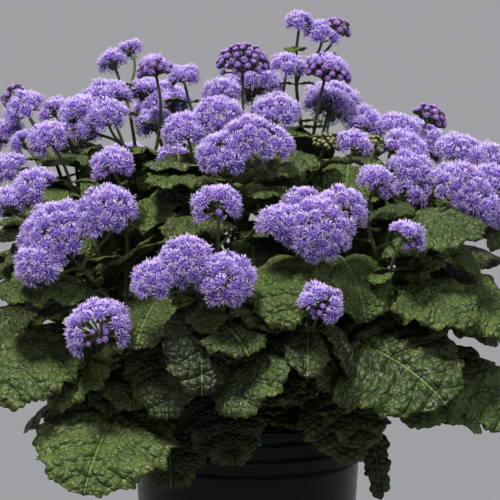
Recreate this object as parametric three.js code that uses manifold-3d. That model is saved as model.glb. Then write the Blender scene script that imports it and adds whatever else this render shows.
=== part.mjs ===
// A potted ageratum (floss flower), in millimetres, +Z up, origin at the centre of the pot's underside.
// Twelve leafy stems stand in plain holes in the soil. Each forks to its flower heads, which are domes of
// small capitula. Heads that touch are one body. The stems carry broad toothed leaves on short petioles.
import * as THREE from "three";
import { ConvexHull } from "three/addons/math/ConvexHull.js";
import { mergeVertices } from "three/addons/utils/BufferGeometryUtils.js";
import Module from "manifold-3d";

const wasm = await Module();
wasm.setup();

// ---- Driving dimensions ------------------------------------------------------------------------------
const CLEARANCE = 0.35; // between one solid and the next
const POT = {
  height: 165,
  lipRadius: 82.5,
  lipHeight: 3,
  lipOverhang: 2,
  bands: 3, // steps of the rim band, under the lip
  bandDrop: 11, // height of each step
  bandStep: 1.5, // how much narrower each step is than the one above it
  bodyRadius: 76.6, // just under the rim band
  baseRadius: 68.5,
  bevel: 1, // on the underside of each step, and twice that round the foot
  wall: 1.8,
  floor: 2.8,
  sides: 24,
};
const SOIL = { belowRim: 17, crown: 5, inset: 3.1, edgeDrop: 4, holeGap: 0.8, sides: 14 };
const DRAIN = { count: 4, radius: 5, ring: 44, depth: 12, sides: 8 };
const TRUNK = { radius: 3, buried: 28, upright: 0.3, sweep: 0.36, lean: 0.3, sides: 5, steps: 5 };
// A branch leaves the trunk at a share of its length that grows with the height of its head.
const BRANCH = {
  radius: 1.6,
  lowest: 0.4,
  highest: 0.97,
  from: 130,
  share: 0.6,
  bow: [0.3, 0.42],
  sides: 3,
  steps: 3,
};
const PETIOLE = { width: 2.8, thickness: 2.2, bow: 0.45 };
const BLADE = {
  thickness: 0.8,
  pairs: [[80, 5], [73, 4], [0, 3]], // teeth a side on leaves longer than this
  toothOut: 1.08,
  toothIn: 0.88,
  footShare: 0.25, // half-width of the foot, as a share of the outline there
  lobe: 0.15, // how far the lobes either side of the petiole reach back, as a share of the length
  lobeReach: 0.34,
  arch: 0.2,
  fold: 0.06,
};
const HEAD = {
  capitulum: 17.5, // width of one capitulum, larger than life so that fewer cover the dome
  packing: 1.1, // capitula for each square of that width
  fewest: 4,
  rim: 96, // how far from its top the capitula come down a dome, in degrees
  under: 142, // and where the three cells of its underside lie
  rise: 0.45, // dome height over its middle, as a share of the head's width
  underside: 0.12, // depth of the flat underside below the middle, likewise
  sunk: 0.15, // how far the middle lies below the head's visible centre, likewise
  tilt: 42, // how far a head at the edge of the plant leans out, in degrees
  tiltReach: 170, // and where that edge is
  open: [0.88, 0.76], // how far the middle and the corners of a cell stand out, as a share of the dome
  gap: [0.62, 0.5], // likewise among the unopened buds of a crescent
  bud: [0.98, 0.74], // likewise on a head in bud
  spike: 1.04, // how far the spikes of an open capitulum stand out
  gapWidth: 0.55, // cosine of the half-angle of a crescent's gap
};

// Each stem: where it leaves the soil, where it forks, and its heads. A head is a list of domes, each
// [x, y, z, width, kind], where kind is open, crescent (open round a gap of buds) or bud.
const STEMS = {
  front_left: {
    base: [-30, -28],
    fork: [-75, -80, 235],
    heads: {
      large_left: [[-124, -125, 303, 54, "open"], [-91, -132, 318, 42, "open"], [-133, -138, 286, 36, "open"]],
      low_left: [[-95, -150, 246, 46, "crescent"]],
      high_left: [[-88, -105, 345, 32, "crescent"]],
    },
  },
  front_mid: {
    base: [-10, -42],
    fork: [-28, -105, 218],
    heads: {
      arch: [[-38, -168, 291, 38, "open"], [-58, -170, 279, 32, "open"], [-13, -170, 279, 41, "open"]],
      centre_small: [[-19, -152, 323, 35, "crescent"]],
    },
  },
  front_right: {
    base: [14, -40],
    fork: [38, -100, 225],
    heads: {
      centre_right: [
        [45, -148, 309, 50, "open"],
        [37, -134, 322, 30, "open"],
        [61, -133, 320, 36, "crescent"],
        [20, -152, 313, 30, "open"],
      ],
      low_right: [[46, -175, 264, 32, "crescent"]],
    },
  },
  right_front: {
    base: [38, -26],
    fork: [92, -72, 240],
    heads: {
      small_right: [[101, -140, 302, 28, "crescent"]],
      mid_right: [[84, -112, 335, 28, "crescent"]],
      large_right: [[142, -80, 327, 48, "open"], [164, -66, 329, 36, "open"], [157, -80, 315, 34, "open"]],
    },
  },
  middle: {
    base: [-6, -18],
    fork: [-12, -62, 285],
    heads: {
      centre_large: [[2, -113, 363, 40, "open"], [-15, -118, 354, 38, "open"], [14, -113, 359, 36, "open"]],
      upper_left: [[-40, -62, 365, 36, "open"], [-20, -58, 374, 38, "open"]],
      tucked: [[-50, -28, 345, 24, "open"]],
    },
  },
  left: {
    base: [-46, -4],
    fork: [-108, -42, 275],
    heads: {
      left_low: [[-140, -92, 329, 34, "open"], [-158, -94, 319, 26, "open"]],
      left_mid: [[-159, -52, 338, 28, "open"]],
      left_top: [[-133, -52, 359, 32, "open"]],
      left_crown: [[-152, -18, 376, 32, "open"], [-158, -9, 383, 18, "bud"], [-164, -11, 359, 28, "open"]],
    },
  },
  top_right: {
    base: [20, 6],
    fork: [42, -4, 330],
    heads: {
      crown: [[36, 0, 433, 25, "open"], [52, 0, 425, 28, "open"], [61, 3, 428, 19, "bud"]],
      bud_right: [[54, -10, 401, 34, "bud"]],
      behind_right: [[58, 28, 378, 32, "open"]],
    },
  },
  top_left: {
    base: [-22, 12],
    fork: [-72, 4, 310],
    heads: {
      left_mass: [[-98, 4, 382, 40, "open"], [-115, -14, 374, 34, "open"], [-96, -24, 371, 35, "open"]],
      twin_left: [[-94, 38, 406, 24, "open"], [-81, 40, 414, 18, "open"]],
      bud_left: [[-63, -10, 402, 25, "bud"]],
      pale_left: [[-60, 28, 376, 31, "open"], [-64, 13, 365, 31, "open"], [-72, 32, 386, 25, "open"]],
    },
  },
  right: {
    base: [46, 4],
    fork: [102, -14, 290],
    heads: {
      right_chain: [
        [104, -10, 361, 35, "open"],
        [107, -30, 350, 36, "open"],
        [111, -50, 337, 36, "open"],
        [80, -2, 366, 34, "open"],
        [110, -59, 323, 27, "open"],
      ],
      inner_right: [[72, -42, 354, 27, "open"]],
      bud_far_right: [[126, 16, 368, 23, "bud"]],
      right_edge: [[147, -18, 344, 44, "open"], [166, -8, 342, 28, "open"]],
    },
  },
  top_middle: {
    base: [0, 12],
    fork: [-3, -8, 325],
    heads: {
      bud_front: [[-3, -38, 408, 35, "bud"]],
      top_right_small: [[27, -20, 405, 28, "open"]],
      top_centre: [[20, -66, 378, 35, "open"]],
      top_left_small: [[-17, 2, 386, 32, "open"]],
      top_back_small: [[-44, 22, 396, 25, "open"]],
      back_top: [[4, 66, 390, 46, "open"]],
    },
  },
  back_left: {
    base: [-28, 38],
    fork: [-78, 84, 262],
    heads: {
      back_far_left: [[-126, 68, 350, 44, "open"]],
      back_upper_left: [[-62, 98, 374, 46, "open"]],
      back_side_left: [[-157, 100, 303, 42, "open"]],
      back_mid_left: [[-92, 142, 325, 50, "open"]],
      back_low_left: [[-50, 172, 266, 42, "crescent"]],
    },
  },
  back_right: {
    base: [24, 40],
    fork: [72, 84, 262],
    heads: {
      back_upper_right: [[62, 86, 376, 46, "open"]],
      back_far_right: [[122, 64, 350, 44, "open"]],
      back_centre: [[-22, 148, 344, 46, "open"]],
      back_mid_right: [[42, 150, 330, 50, "open"]],
      back_side_right: [[106, 130, 312, 46, "open"]],
      back_low_right: [[36, 182, 260, 40, "crescent"]],
      back_edge_right: [[162, 62, 300, 38, "open"]],
    },
  },
};

// The leaves that hang over the front of the pot and fill the front of the plant:
// [foot of the blade x, y, z, azimuth, pitch at the foot, pitch at the tip, length, width, roll].
const FRONT_LEAVES = [
  [-78, -98, 188, -109, -10, -55, 90, 90, -10],
  [52, -108, 234, -34, -4, -42, 98, 92, 34],
  [-84, -96, 208, -96, -14, -62, 40, 36, -4],
  [-112, -104, 232, -142, -12, -62, 70, 60, -24],
  [-58, -108, 240, -42, -4, -50, 72, 54, 30],
  [-100, -100, 262, -150, 22, -26, 66, 56, -14],
  [4, -118, 262, -72, 6, -50, 54, 48, 6],
  [-27, -88, 198, -66, -28, -76, 60, 54, 6],
  [-52, -86, 182, -84, -36, -84, 58, 50, 0],
  [8, -92, 210, -80, 8, -50, 52, 54, 0],
  [20, -92, 232, -70, -8, -60, 52, 48, 6],
  [36, -112, 286, -104, -20, -66, 60, 52, 0],
  [62, -104, 282, -58, -6, -56, 52, 46, 12],
  [80, -96, 262, -34, 4, -40, 62, 52, 24],
  [50, -84, 190, -60, -26, -68, 54, 50, 12],
  [122, -82, 217, -34, -18, -60, 76, 52, 24],
  [116, -90, 264, -20, -4, -52, 72, 58, 26],
  [90, -102, 292, -16, 14, -30, 66, 50, 28],
  [78, -74, 174, -62, -54, -86, 56, 20, 60],
  [64, -80, 196, -74, -30, -74, 52, 48, 0],
  [-72, -96, 302, 40, 50, 10, 48, 44, 0],
  [-26, -84, 332, -134, 20, -22, 50, 40, -12],
  [-14, -104, 306, -138, 12, -24, 52, 38, -12],
  [-146, -74, 246, -162, -24, -68, 52, 46, -20],
  [-56, -116, 258, -112, 4, -46, 48, 44, -6],
  [126, -66, 312, -100, -18, -60, 62, 50, 10],
  [150, -50, 308, -34, -8, -54, 54, 48, 20],
  [42, -66, 346, -128, 8, -34, 56, 38, -14],
  [58, -62, 338, -60, 24, -14, 46, 36, 14],
  [34, -86, 326, -134, 14, -18, 48, 36, -12],
  [-6, -82, 264, -86, 16, -40, 52, 48, 0],
  [-66, -86, 212, -100, 0, -48, 58, 54, -10],
  [92, -74, 216, -58, 0, -50, 66, 58, 14],
  [26, -76, 250, -70, 10, -44, 60, 54, 8],
  [-104, -60, 296, -160, 20, -30, 50, 42, -10],
  [70, -62, 300, -40, 20, -26, 50, 40, 12],
];
// The rest of the foliage, in rings that lap like shingles from the pot's rim up to the heads:
// [height, radius, how many all round, pitch at the foot, pitch at the tip, length, width].
const LEAF_RINGS = [
  [192, 84, 8, -8, -48, 88, 84],
  [214, 100, 8, -2, -54, 84, 76],
  [244, 116, 9, 6, -46, 74, 66],
  [274, 124, 9, 12, -44, 66, 58],
  [304, 108, 10, 20, -34, 60, 50],
  [334, 76, 8, 26, -24, 52, 42],
];
const RINGS_AT_FRONT = 5; // the rings from this one on go all the way round
const FRONT = { from: -152, to: -28 }; // azimuths that the front leaves fill
const RING_JITTER = { azimuth: 14, height: 9, size: 0.2 };

// A leaf that would cross another node is turned, dipped, moved out on its petiole and made smaller, a
// little at a time.
const BENDS = [1, 0.86].flatMap((size) =>
  [0, 8, -8, 16, -16, 26, -26, 38, -38].flatMap((turn) =>
    [0, 9, 18].flatMap((shift) => [0, 8, -8, 16, -16, 24].map((dip) => ({ size, turn, shift, dip }))),
  ),
);
const ROOT = { from: 0.25, to: 0.97, steps: 24, rise: 0.2 }; // where petioles may leave the wood

// ---- Small helpers -----------------------------------------------------------------------------------
const vec = (x, y, z) => new THREE.Vector3(x, y, z);
const rad = THREE.MathUtils.degToRad;
const GOLDEN_ANGLE = Math.PI * (3 - Math.sqrt(5));

// A draw from 0 to 1 that is the same every run.
function draw(i, salt) {
  const s = Math.sin(i * 12.9898 + salt * 78.233) * 43758.5453;
  return s - Math.floor(s);
}

function toSolid(geometry) {
  const bare = geometry.clone();
  bare.deleteAttribute("normal");
  bare.deleteAttribute("uv");
  const merged = mergeVertices(bare, 1e-3);
  return new wasm.Manifold(
    new wasm.Mesh({
      numProp: 3,
      vertProperties: new Float32Array(merged.attributes.position.array),
      triVerts: new Uint32Array(merged.index.array),
    }),
  );
}

function toMesh(name, solid, material) {
  const m = solid.getMesh();
  const geometry = new THREE.BufferGeometry();
  geometry.setAttribute("position", new THREE.BufferAttribute(new Float32Array(m.vertProperties), 3));
  geometry.setIndex(new THREE.BufferAttribute(new Uint32Array(m.triVerts), 1));
  geometry.computeVertexNormals();
  const mesh = new THREE.Mesh(geometry, material);
  mesh.name = name;
  return mesh;
}

// The largest body of a solid, so that a scrap cut off by a neighbour is dropped.
function mainBody(solid) {
  const bodies = solid.decompose();
  return bodies.reduce((a, b) => (b.volume() > a.volume() ? b : a));
}

function tube(curve, radius, { sides, steps }) {
  const ring = Array.from({ length: sides }, (_, i) => {
    const a = (2 * Math.PI * i) / sides;
    return new THREE.Vector2(radius * Math.cos(a), radius * Math.sin(a));
  });
  const g = new THREE.ExtrudeGeometry(new THREE.Shape(ring), { steps, extrudePath: curve });
  return toSolid(g);
}

function overlaps(a, b) {
  const p = a.boundingBox();
  const q = b.boundingBox();
  const near = [0, 1, 2].every((k) => p.min[k] < q.max[k] && q.min[k] < p.max[k]);
  return near && a.intersect(b).volume() > 1e-3;
}

// ---- Pot and soil ------------------------------------------------------------------------------------
const BAND_FOOT = POT.height - POT.bands * POT.bandDrop;
const SOIL_TOP = POT.height - SOIL.belowRim;
const bandRadius = (i) => POT.lipRadius - POT.lipOverhang - POT.bandStep * i;
const bandTop = (i) => POT.height - POT.bandDrop * i;

function lathe(profile, sides) {
  const points = profile.map(([r, z]) => new THREE.Vector2(r, z));
  return toSolid(new THREE.LatheGeometry(points, sides).rotateX(Math.PI / 2));
}

function potSolid() {
  const { height, lipRadius, lipHeight, bevel, wall, floor } = POT;
  const outside = [
    [0, 0],
    [POT.baseRadius - 2 * bevel, 0],
    [POT.baseRadius, 2 * bevel],
    [POT.bodyRadius, BAND_FOOT],
  ];
  for (let i = POT.bands - 1; i >= 0; i--) {
    outside.push([bandRadius(i), bandTop(i + 1) + bevel]);
    outside.push([bandRadius(i), i ? bandTop(i) : height - lipHeight - bevel]);
  }
  const lip = [[lipRadius, height - lipHeight], [lipRadius, height]];
  const inside = [
    [bandRadius(0) - wall, height],
    [POT.bodyRadius - wall, BAND_FOOT - 2 * bevel],
    [POT.baseRadius - wall, floor],
    [0, floor],
  ];
  let pot = lathe([...outside, ...lip, ...inside], POT.sides);
  for (let i = 0; i < DRAIN.count; i++) {
    const a = (2 * Math.PI * (i + 0.5)) / DRAIN.count;
    const drill = new THREE.CylinderGeometry(DRAIN.radius, DRAIN.radius, DRAIN.depth, DRAIN.sides);
    drill.rotateX(Math.PI / 2).translate(DRAIN.ring * Math.cos(a), DRAIN.ring * Math.sin(a), 0);
    pot = pot.subtract(toSolid(drill));
  }
  return pot;
}

// The soil fills the pot to its wall, and its top is slightly crowned.
function soilSolid() {
  const floor = POT.floor + CLEARANCE;
  const edge = POT.bodyRadius - SOIL.inset;
  return lathe(
    [
      [0, floor],
      [POT.baseRadius - SOIL.inset, floor],
      [edge, BAND_FOOT],
      [edge, SOIL_TOP - SOIL.edgeDrop],
      [edge - SOIL.edgeDrop, SOIL_TOP],
      [0, SOIL_TOP + SOIL.crown],
    ],
    SOIL.sides,
  );
}

// ---- Stems -------------------------------------------------------------------------------------------
function trunkCurve({ base: [x, y], fork }) {
  const end = vec(...fork);
  const rise = end.z - SOIL_TOP;
  const lean = vec(end.x - x, end.y - y, 0);
  return new THREE.CubicBezierCurve3(
    vec(x, y, SOIL_TOP - TRUNK.buried),
    vec(x, y, SOIL_TOP + TRUNK.upright * rise),
    end.clone().addScaledVector(lean, -TRUNK.lean).sub(vec(0, 0, TRUNK.sweep * rise)),
    end,
  );
}

// The way a head faces: up at the middle of the plant, and leaning out towards its edge.
function headAxis(x, y) {
  const reach = Math.hypot(x, y);
  const tilt = rad(HEAD.tilt) * Math.min(1, reach / HEAD.tiltReach);
  return vec((Math.sin(tilt) * x) / reach, (Math.sin(tilt) * y) / reach, Math.cos(tilt));
}

function headMiddle([x, y, z, width]) {
  return vec(x, y, z).addScaledVector(headAxis(x, y), -HEAD.sunk * width);
}

// A branch leaves the trunk low for a low head and at the fork for a high one, and meets the head from below.
function branchCurve(stem, trunk, dome) {
  const [x, y, z, width] = dome;
  const axis = headAxis(x, y);
  const end = headMiddle(dome).addScaledVector(axis, -HEAD.underside * width - CLEARANCE);
  const height = (z - BRANCH.from) / (stem.fork[2] - BRANCH.from);
  const start = THREE.MathUtils.clamp(BRANCH.share * height, BRANCH.lowest, BRANCH.highest);
  const from = trunk.getPoint(start);
  const reach = from.distanceTo(end);
  return new THREE.CubicBezierCurve3(
    from,
    from.clone().addScaledVector(trunk.getTangent(start), BRANCH.bow[0] * reach),
    end.clone().addScaledVector(axis, -BRANCH.bow[1] * reach),
    end,
  );
}

// ---- Flower heads ------------------------------------------------------------------------------------
// A dome is split into cells, one for each capitulum, round the sites of a sunflower spiral. Each cell is
// a fan of faces from its site to its corners, and on an open capitulum each face is raised to a spike.
function domeSolid(dome, seed, spare) {
  const [x, y, , width, kind] = dome;
  const middle = headMiddle(dome);
  const turn = new THREE.Quaternion().setFromUnitVectors(vec(0, 0, 1), headAxis(x, y));
  const count = Math.max(HEAD.fewest, Math.round((width / HEAD.capitulum) ** 2 * HEAD.packing));
  const sites = [];
  for (let i = 0; i < count; i++) {
    sites.push(wayAt(HEAD.rim * Math.sqrt((i + 0.4) / count), i * GOLDEN_ANGLE + seed));
  }
  for (let i = 0; i < 3; i++) sites.push(wayAt(HEAD.under, (i * 2 * Math.PI) / 3 + seed));
  const corners = facesOf(sites).map((f) => f.way.clone());
  const isSite = new Set(sites);

  // The gap of unopened buds in a crescent faces out and down.
  const gapWay = vec(x, y, 0).normalize().add(vec(0, 0, 0.25)).normalize();
  const inGap = (d) => kind === "crescent" && d.clone().applyQuaternion(turn).dot(gapWay) > HEAD.gapWidth;
  const place = (d, share) => {
    const radius = 0.5 * width + spare;
    const rise = d.z > 0 ? HEAD.rise * width + spare : radius;
    const far = share / Math.hypot(d.x / radius, d.y / radius, d.z / rise);
    const floor = d.z < 0 ? (HEAD.underside * width + spare) / -d.z : Infinity;
    return d.clone().multiplyScalar(Math.min(far, floor)).applyQuaternion(turn).add(middle);
  };

  const triangles = [];
  for (const { corners: trio, way } of facesOf([...sites, ...corners])) {
    const [a, b, c] = trio.map((d) => {
      const [atSite, atCorner] = kind === "bud" ? HEAD.bud : inGap(d) ? HEAD.gap : HEAD.open;
      return place(d, isSite.has(d) ? atSite : atCorner);
    });
    if (kind === "bud" || way.z < -0.12 || inGap(way)) {
      triangles.push(a, b, c);
    } else {
      const tip = place(way, HEAD.spike);
      triangles.push(a, b, tip, b, c, tip, c, a, tip);
    }
  }
  return toSolid(new THREE.BufferGeometry().setFromPoints(triangles));
}

// A direction, `away` degrees from +Z and at angle `round` about it.
function wayAt(away, round) {
  const s = Math.sin(rad(away));
  return vec(s * Math.sin(round), s * Math.cos(round), Math.cos(rad(away)));
}

// The faces of the hull round some directions, each with its three corners and the way it looks.
function facesOf(points) {
  return new ConvexHull().setFromPoints(points).faces.map((face) => {
    const { edge } = face;
    return { corners: [edge, edge.next, edge.next.next].map((e) => e.head().point), way: face.normal };
  });
}

// ---- Leaves ------------------------------------------------------------------------------------------
// A leaf: its blade's foot, azimuth, pitches, length, width and roll, and its petiole's root on the wood.
// The midrib is an arc from the one pitch to the other.
function midrib({ foot, azimuth, footPitch, tipPitch, length }, u) {
  const way = vec(Math.cos(rad(azimuth)), Math.sin(rad(azimuth)), 0);
  const [p0, p1] = [rad(footPitch), rad(tipPitch)];
  const pitch = p0 + (p1 - p0) * u;
  const out = (length * (Math.sin(pitch) - Math.sin(p0))) / (p1 - p0);
  const up = (length * (Math.cos(p0) - Math.cos(pitch))) / (p1 - p0);
  return {
    at: foot.clone().addScaledVector(way, out).add(vec(0, 0, up)),
    along: way.multiplyScalar(Math.cos(pitch)).add(vec(0, 0, Math.sin(pitch))),
  };
}

// A blunt egg-shaped outline, broadest near the foot: half-width as a share of the greatest.
const outline = (u) => (u ** 0.42 * (1 - u) ** 0.58) / 0.508;

// A place on the blade: u along the midrib, v across it with the edge at 1 and -1, and a lift off its face.
function bladePoint(leaf, u, v, lift) {
  const { at, along } = midrib(leaf, u);
  const a = rad(leaf.azimuth);
  const across = vec(Math.sin(a), -Math.cos(a), 0).applyAxisAngle(along, rad(leaf.roll));
  const normal = across.clone().cross(along);
  const half = 0.5 * leaf.width * outline(u);
  const backLobe = BLADE.lobe * leaf.length * v * v * Math.max(0, 1 - u / BLADE.lobeReach) ** 2;
  const droop = half * (BLADE.fold * Math.abs(v) - BLADE.arch * v * v);
  return at
    .addScaledVector(along, -backLobe)
    .addScaledVector(across, half * v)
    .addScaledVector(normal, lift + droop);
}

// A closed slab between two faces, `tops` and `bottoms`, that are split into the same triangles.
function slab(tops, bottoms, faces) {
  const border = new Map();
  const corners = [];
  for (const [a, b, c] of faces) {
    corners.push(tops[a], tops[b], tops[c], bottoms[a], bottoms[c], bottoms[b]);
    for (const [from, to] of [[a, b], [b, c], [c, a]]) {
      if (!border.delete(to + "-" + from)) border.set(from + "-" + to, [from, to]);
    }
  }
  for (const [a, b] of border.values()) {
    corners.push(tops[b], tops[a], bottoms[a], tops[b], bottoms[a], bottoms[b]);
  }
  return toSolid(new THREE.BufferGeometry().setFromPoints(corners));
}

// The blade has `pairs` teeth a side, and its petiole is a narrow strip of the same slab.
function leafSolid(leaf, { spare = 0, withPetiole = true } = {}) {
  const pairs = BLADE.pairs.find(([longerThan]) => leaf.length > longerThan)[1];
  const tops = [];
  const bottoms = [];
  const put = (top, bottom) => tops.push(top) && bottoms.push(bottom) && tops.length - 1;
  const onBlade = (u, v) => {
    const lift = BLADE.thickness / 2 + spare;
    return put(bladePoint(leaf, u, v, lift), bladePoint(leaf, u, v, -lift));
  };

  const faces = [];
  const rows = 2 * pairs;
  const edge = (side, k) => {
    if (k === 0) return onBlade(0.02, side * BLADE.footShare);
    return onBlade(k / rows, side * (k % 2 ? BLADE.toothOut : BLADE.toothIn));
  };
  const tip = onBlade(1, 0);
  const ribs = Array.from({ length: pairs }, (_, i) => onBlade((2 * i) / rows + (i ? 0 : 0.02), 0)).concat(tip);
  const foot = {};
  for (const side of [1, -1]) {
    const edges = Array.from({ length: rows }, (_, k) => edge(side, k)).concat(tip);
    const add = (a, b, c) => faces.push(side > 0 ? [a, b, c] : [a, c, b]);
    for (let i = 0; i < pairs; i++) {
      add(ribs[i], edges[2 * i], edges[2 * i + 1]);
      add(ribs[i], edges[2 * i + 1], ribs[i + 1]);
      if (i < pairs - 1) add(ribs[i + 1], edges[2 * i + 1], edges[2 * i + 2]);
    }
    foot[side] = edges[0];
  }

  if (withPetiole) {
    const strip = petioleStrip(leaf, spare, put);
    const [last, first] = [strip.at(-1), strip[0]];
    faces.push([first.left, first.right, last.right], [first.left, last.right, last.left]);
    faces.push([last.left, last.right, ribs[0]]);
    faces.push([last.left, ribs[0], foot[-1]], [last.right, foot[1], ribs[0]]);
  }
  return slab(tops, bottoms, faces);
}

// Two cross-sections of the petiole: at its root in the wood and half way to the blade.
function petioleStrip(leaf, spare, put) {
  const { at: foot, along } = midrib(leaf, 0);
  const bow = leaf.root.distanceTo(foot) * PETIOLE.bow;
  const path = new THREE.QuadraticBezierCurve3(leaf.root, foot.clone().addScaledVector(along, -bow), foot);
  return [0, 0.55].map((t) => {
    const at = path.getPoint(t);
    const across = path.getTangent(t).cross(vec(0, 0, 1)).normalize();
    const normal = across.clone().cross(path.getTangent(t));
    const corner = (side, lift) =>
      at.clone().addScaledVector(across, side * (PETIOLE.width / 2 + spare)).addScaledVector(normal, lift);
    const lift = PETIOLE.thickness / 2 + spare;
    return { left: put(corner(-1, lift), corner(-1, -lift)), right: put(corner(1, lift), corner(1, -lift)) };
  });
}

const bent = (leaf, { size, turn, shift, dip }) => ({
  ...leaf,
  foot: leaf.foot.clone().add(vec(shift * Math.cos(rad(leaf.azimuth)), shift * Math.sin(rad(leaf.azimuth)), 0)),
  length: leaf.length * size,
  width: leaf.width * size,
  azimuth: leaf.azimuth + turn,
  footPitch: leaf.footPitch - dip,
  tipPitch: leaf.tipPitch - dip,
});

// ---- The plant ---------------------------------------------------------------------------------------
const MATERIALS = {
  pot: new THREE.MeshStandardMaterial({ color: 0x1c1b1e, roughness: 0.45, metalness: 0 }),
  soil: new THREE.MeshStandardMaterial({ color: 0x2b2018, roughness: 1, metalness: 0 }),
  leaf: new THREE.MeshStandardMaterial({ color: 0x3f6a2c, roughness: 0.6, metalness: 0 }),
  floss: new THREE.MeshStandardMaterial({ color: 0x9a78d8, roughness: 0.9, metalness: 0 }),
  bud: new THREE.MeshStandardMaterial({ color: 0x8a5fb4, roughness: 0.8, metalness: 0 }),
};

// Heads and bare stems come first, because the leaves bend clear of them.
const heads = [];
const stems = Object.entries(STEMS).map(([name, stem], s) => {
  const trunk = trunkCurve(stem);
  const branches = [];
  for (const [head, domes] of Object.entries(stem.heads)) {
    const grown = (spare) => domes.map((dome, i) => domeSolid(dome, 10 * s + i, spare));
    const joined = (spare) => mainBody(wasm.Manifold.union(grown(spare)));
    const kind = domes.every((dome) => dome[4] === "bud") ? "bud" : "floss";
    heads.push({ name: "head_" + head, body: joined(0), room: joined(CLEARANCE), kind });
    branches.push(branchCurve(stem, trunk, domes[0]));
  }
  const limbs = branches.map((b) => tube(b, BRANCH.radius, BRANCH));
  const wood = wasm.Manifold.union([tube(trunk, TRUNK.radius, TRUNK), ...limbs]);
  return { name, trunk, branches, wood, leaves: [] };
});
for (const s of stems) {
  const crossed = heads.filter((h) => overlaps(s.wood, h.body));
  s.wood = mainBody(crossed.reduce((wood, h) => wood.subtract(h.room), s.wood));
}

// The place on any stem nearest to the foot of a blade that lets the petiole rise.
function rootFor(foot) {
  let best = { far: Infinity };
  for (const stem of stems) {
    for (const curve of [stem.trunk, ...stem.branches]) {
      for (let i = 0; i <= ROOT.steps; i++) {
        const root = curve.getPoint(ROOT.from + ((ROOT.to - ROOT.from) * i) / ROOT.steps);
        const far = root.distanceTo(foot);
        if (far < best.far && foot.z - root.z > ROOT.rise * far) best = { far, root, stem };
      }
    }
  }
  return best;
}

function frontLeaves() {
  return FRONT_LEAVES.map(([x, y, z, azimuth, footPitch, tipPitch, length, width, roll]) => {
    return { foot: vec(x, y, z), azimuth, footPitch, tipPitch, length, width, roll };
  });
}

function ringLeaves() {
  return LEAF_RINGS.flatMap(([height, radius, count, footPitch, tipPitch, length, width], ring) => {
    const leaves = [];
    for (let i = 0; i < count; i++) {
      const jitter = (salt) => draw(i + 20 * ring, salt) - 0.5;
      const around = -180 + (360 * (i + 0.5 * (ring % 2))) / count + RING_JITTER.azimuth * jitter(1);
      if (ring < RINGS_AT_FRONT && around > FRONT.from && around < FRONT.to) continue;
      const foot = vec(radius * Math.cos(rad(around)), radius * Math.sin(rad(around)), height);
      foot.z += RING_JITTER.height * jitter(2);
      const size = 1 + RING_JITTER.size * jitter(3);
      const azimuth = around + 2 * RING_JITTER.azimuth * jitter(4);
      const roll = RING_JITTER.azimuth * jitter(5);
      leaves.push({ foot, azimuth, footPitch, tipPitch, length: length * size, width: width * size, roll });
    }
    return leaves;
  });
}

// A leaf takes the first bend that clears every other node and leaf, and keeps its blade off its own stem.
// One that finds no room is left out.
const pot = potSolid();
let soil = soilSolid();
for (const leaf of [...frontLeaves(), ...ringLeaves()]) {
  const { root, stem } = rootFor(leaf.foot);
  const otherWood = stems.filter((s) => s !== stem).map((s) => s.wood);
  const obstacles = [pot, soil, ...heads.map((h) => h.body), ...otherWood, ...stems.flatMap((s) => s.leaves)];
  const choices = BENDS.map((bend) => bent({ ...leaf, root }, bend));
  const clear = choices.find((choice) => {
    const room = leafSolid(choice, { spare: CLEARANCE });
    if (obstacles.some((o) => overlaps(room, o))) return false;
    return !overlaps(leafSolid(choice, { spare: CLEARANCE, withPetiole: false }), stem.wood);
  });
  if (clear) stem.leaves.push(leafSolid(clear));
}

const plant = new THREE.Group();
for (const s of stems) {
  soil = soil.subtract(tube(s.trunk, TRUNK.radius + SOIL.holeGap, TRUNK));
  plant.add(toMesh("stem_" + s.name, mainBody(wasm.Manifold.union([s.wood, ...s.leaves])), MATERIALS.leaf));
}
for (const h of heads) plant.add(toMesh(h.name, h.body, MATERIALS[h.kind]));
plant.add(toMesh("soil", mainBody(soil), MATERIALS.soil));
plant.add(toMesh("pot", pot, MATERIALS.pot));

export default plant;
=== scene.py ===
"""The looks of a potted ageratum (floss flower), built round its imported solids.

The tables and formulas of the plant's shape are those of its solids, in millimetres. Each head of flowers becomes
tufts of thread-like floss on stalked cups, each leafy stem becomes smooth hairy wood with quilted, round-toothed
leaves, and the pot and its soil are made again with finer edges and crumbs.
"""

import math
from dataclasses import dataclass, replace

import bmesh
import bpy
import numpy as np
from mathutils import Matrix, Vector, noise
from mathutils.kdtree import KDTree


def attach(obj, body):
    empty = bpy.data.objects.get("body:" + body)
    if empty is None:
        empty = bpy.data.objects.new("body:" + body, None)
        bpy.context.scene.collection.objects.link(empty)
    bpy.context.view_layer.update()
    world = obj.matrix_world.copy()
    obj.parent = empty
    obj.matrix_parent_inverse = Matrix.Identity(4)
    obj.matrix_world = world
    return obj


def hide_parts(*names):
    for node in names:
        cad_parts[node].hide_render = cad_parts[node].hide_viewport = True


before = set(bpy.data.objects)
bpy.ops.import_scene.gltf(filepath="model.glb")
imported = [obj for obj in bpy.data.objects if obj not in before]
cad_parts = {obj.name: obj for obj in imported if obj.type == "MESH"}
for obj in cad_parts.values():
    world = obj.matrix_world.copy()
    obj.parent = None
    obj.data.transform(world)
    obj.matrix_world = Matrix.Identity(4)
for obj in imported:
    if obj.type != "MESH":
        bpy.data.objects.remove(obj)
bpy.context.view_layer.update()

MM = 0.001
GOLDEN_ANGLE = math.pi * (3 - math.sqrt(5))

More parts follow.
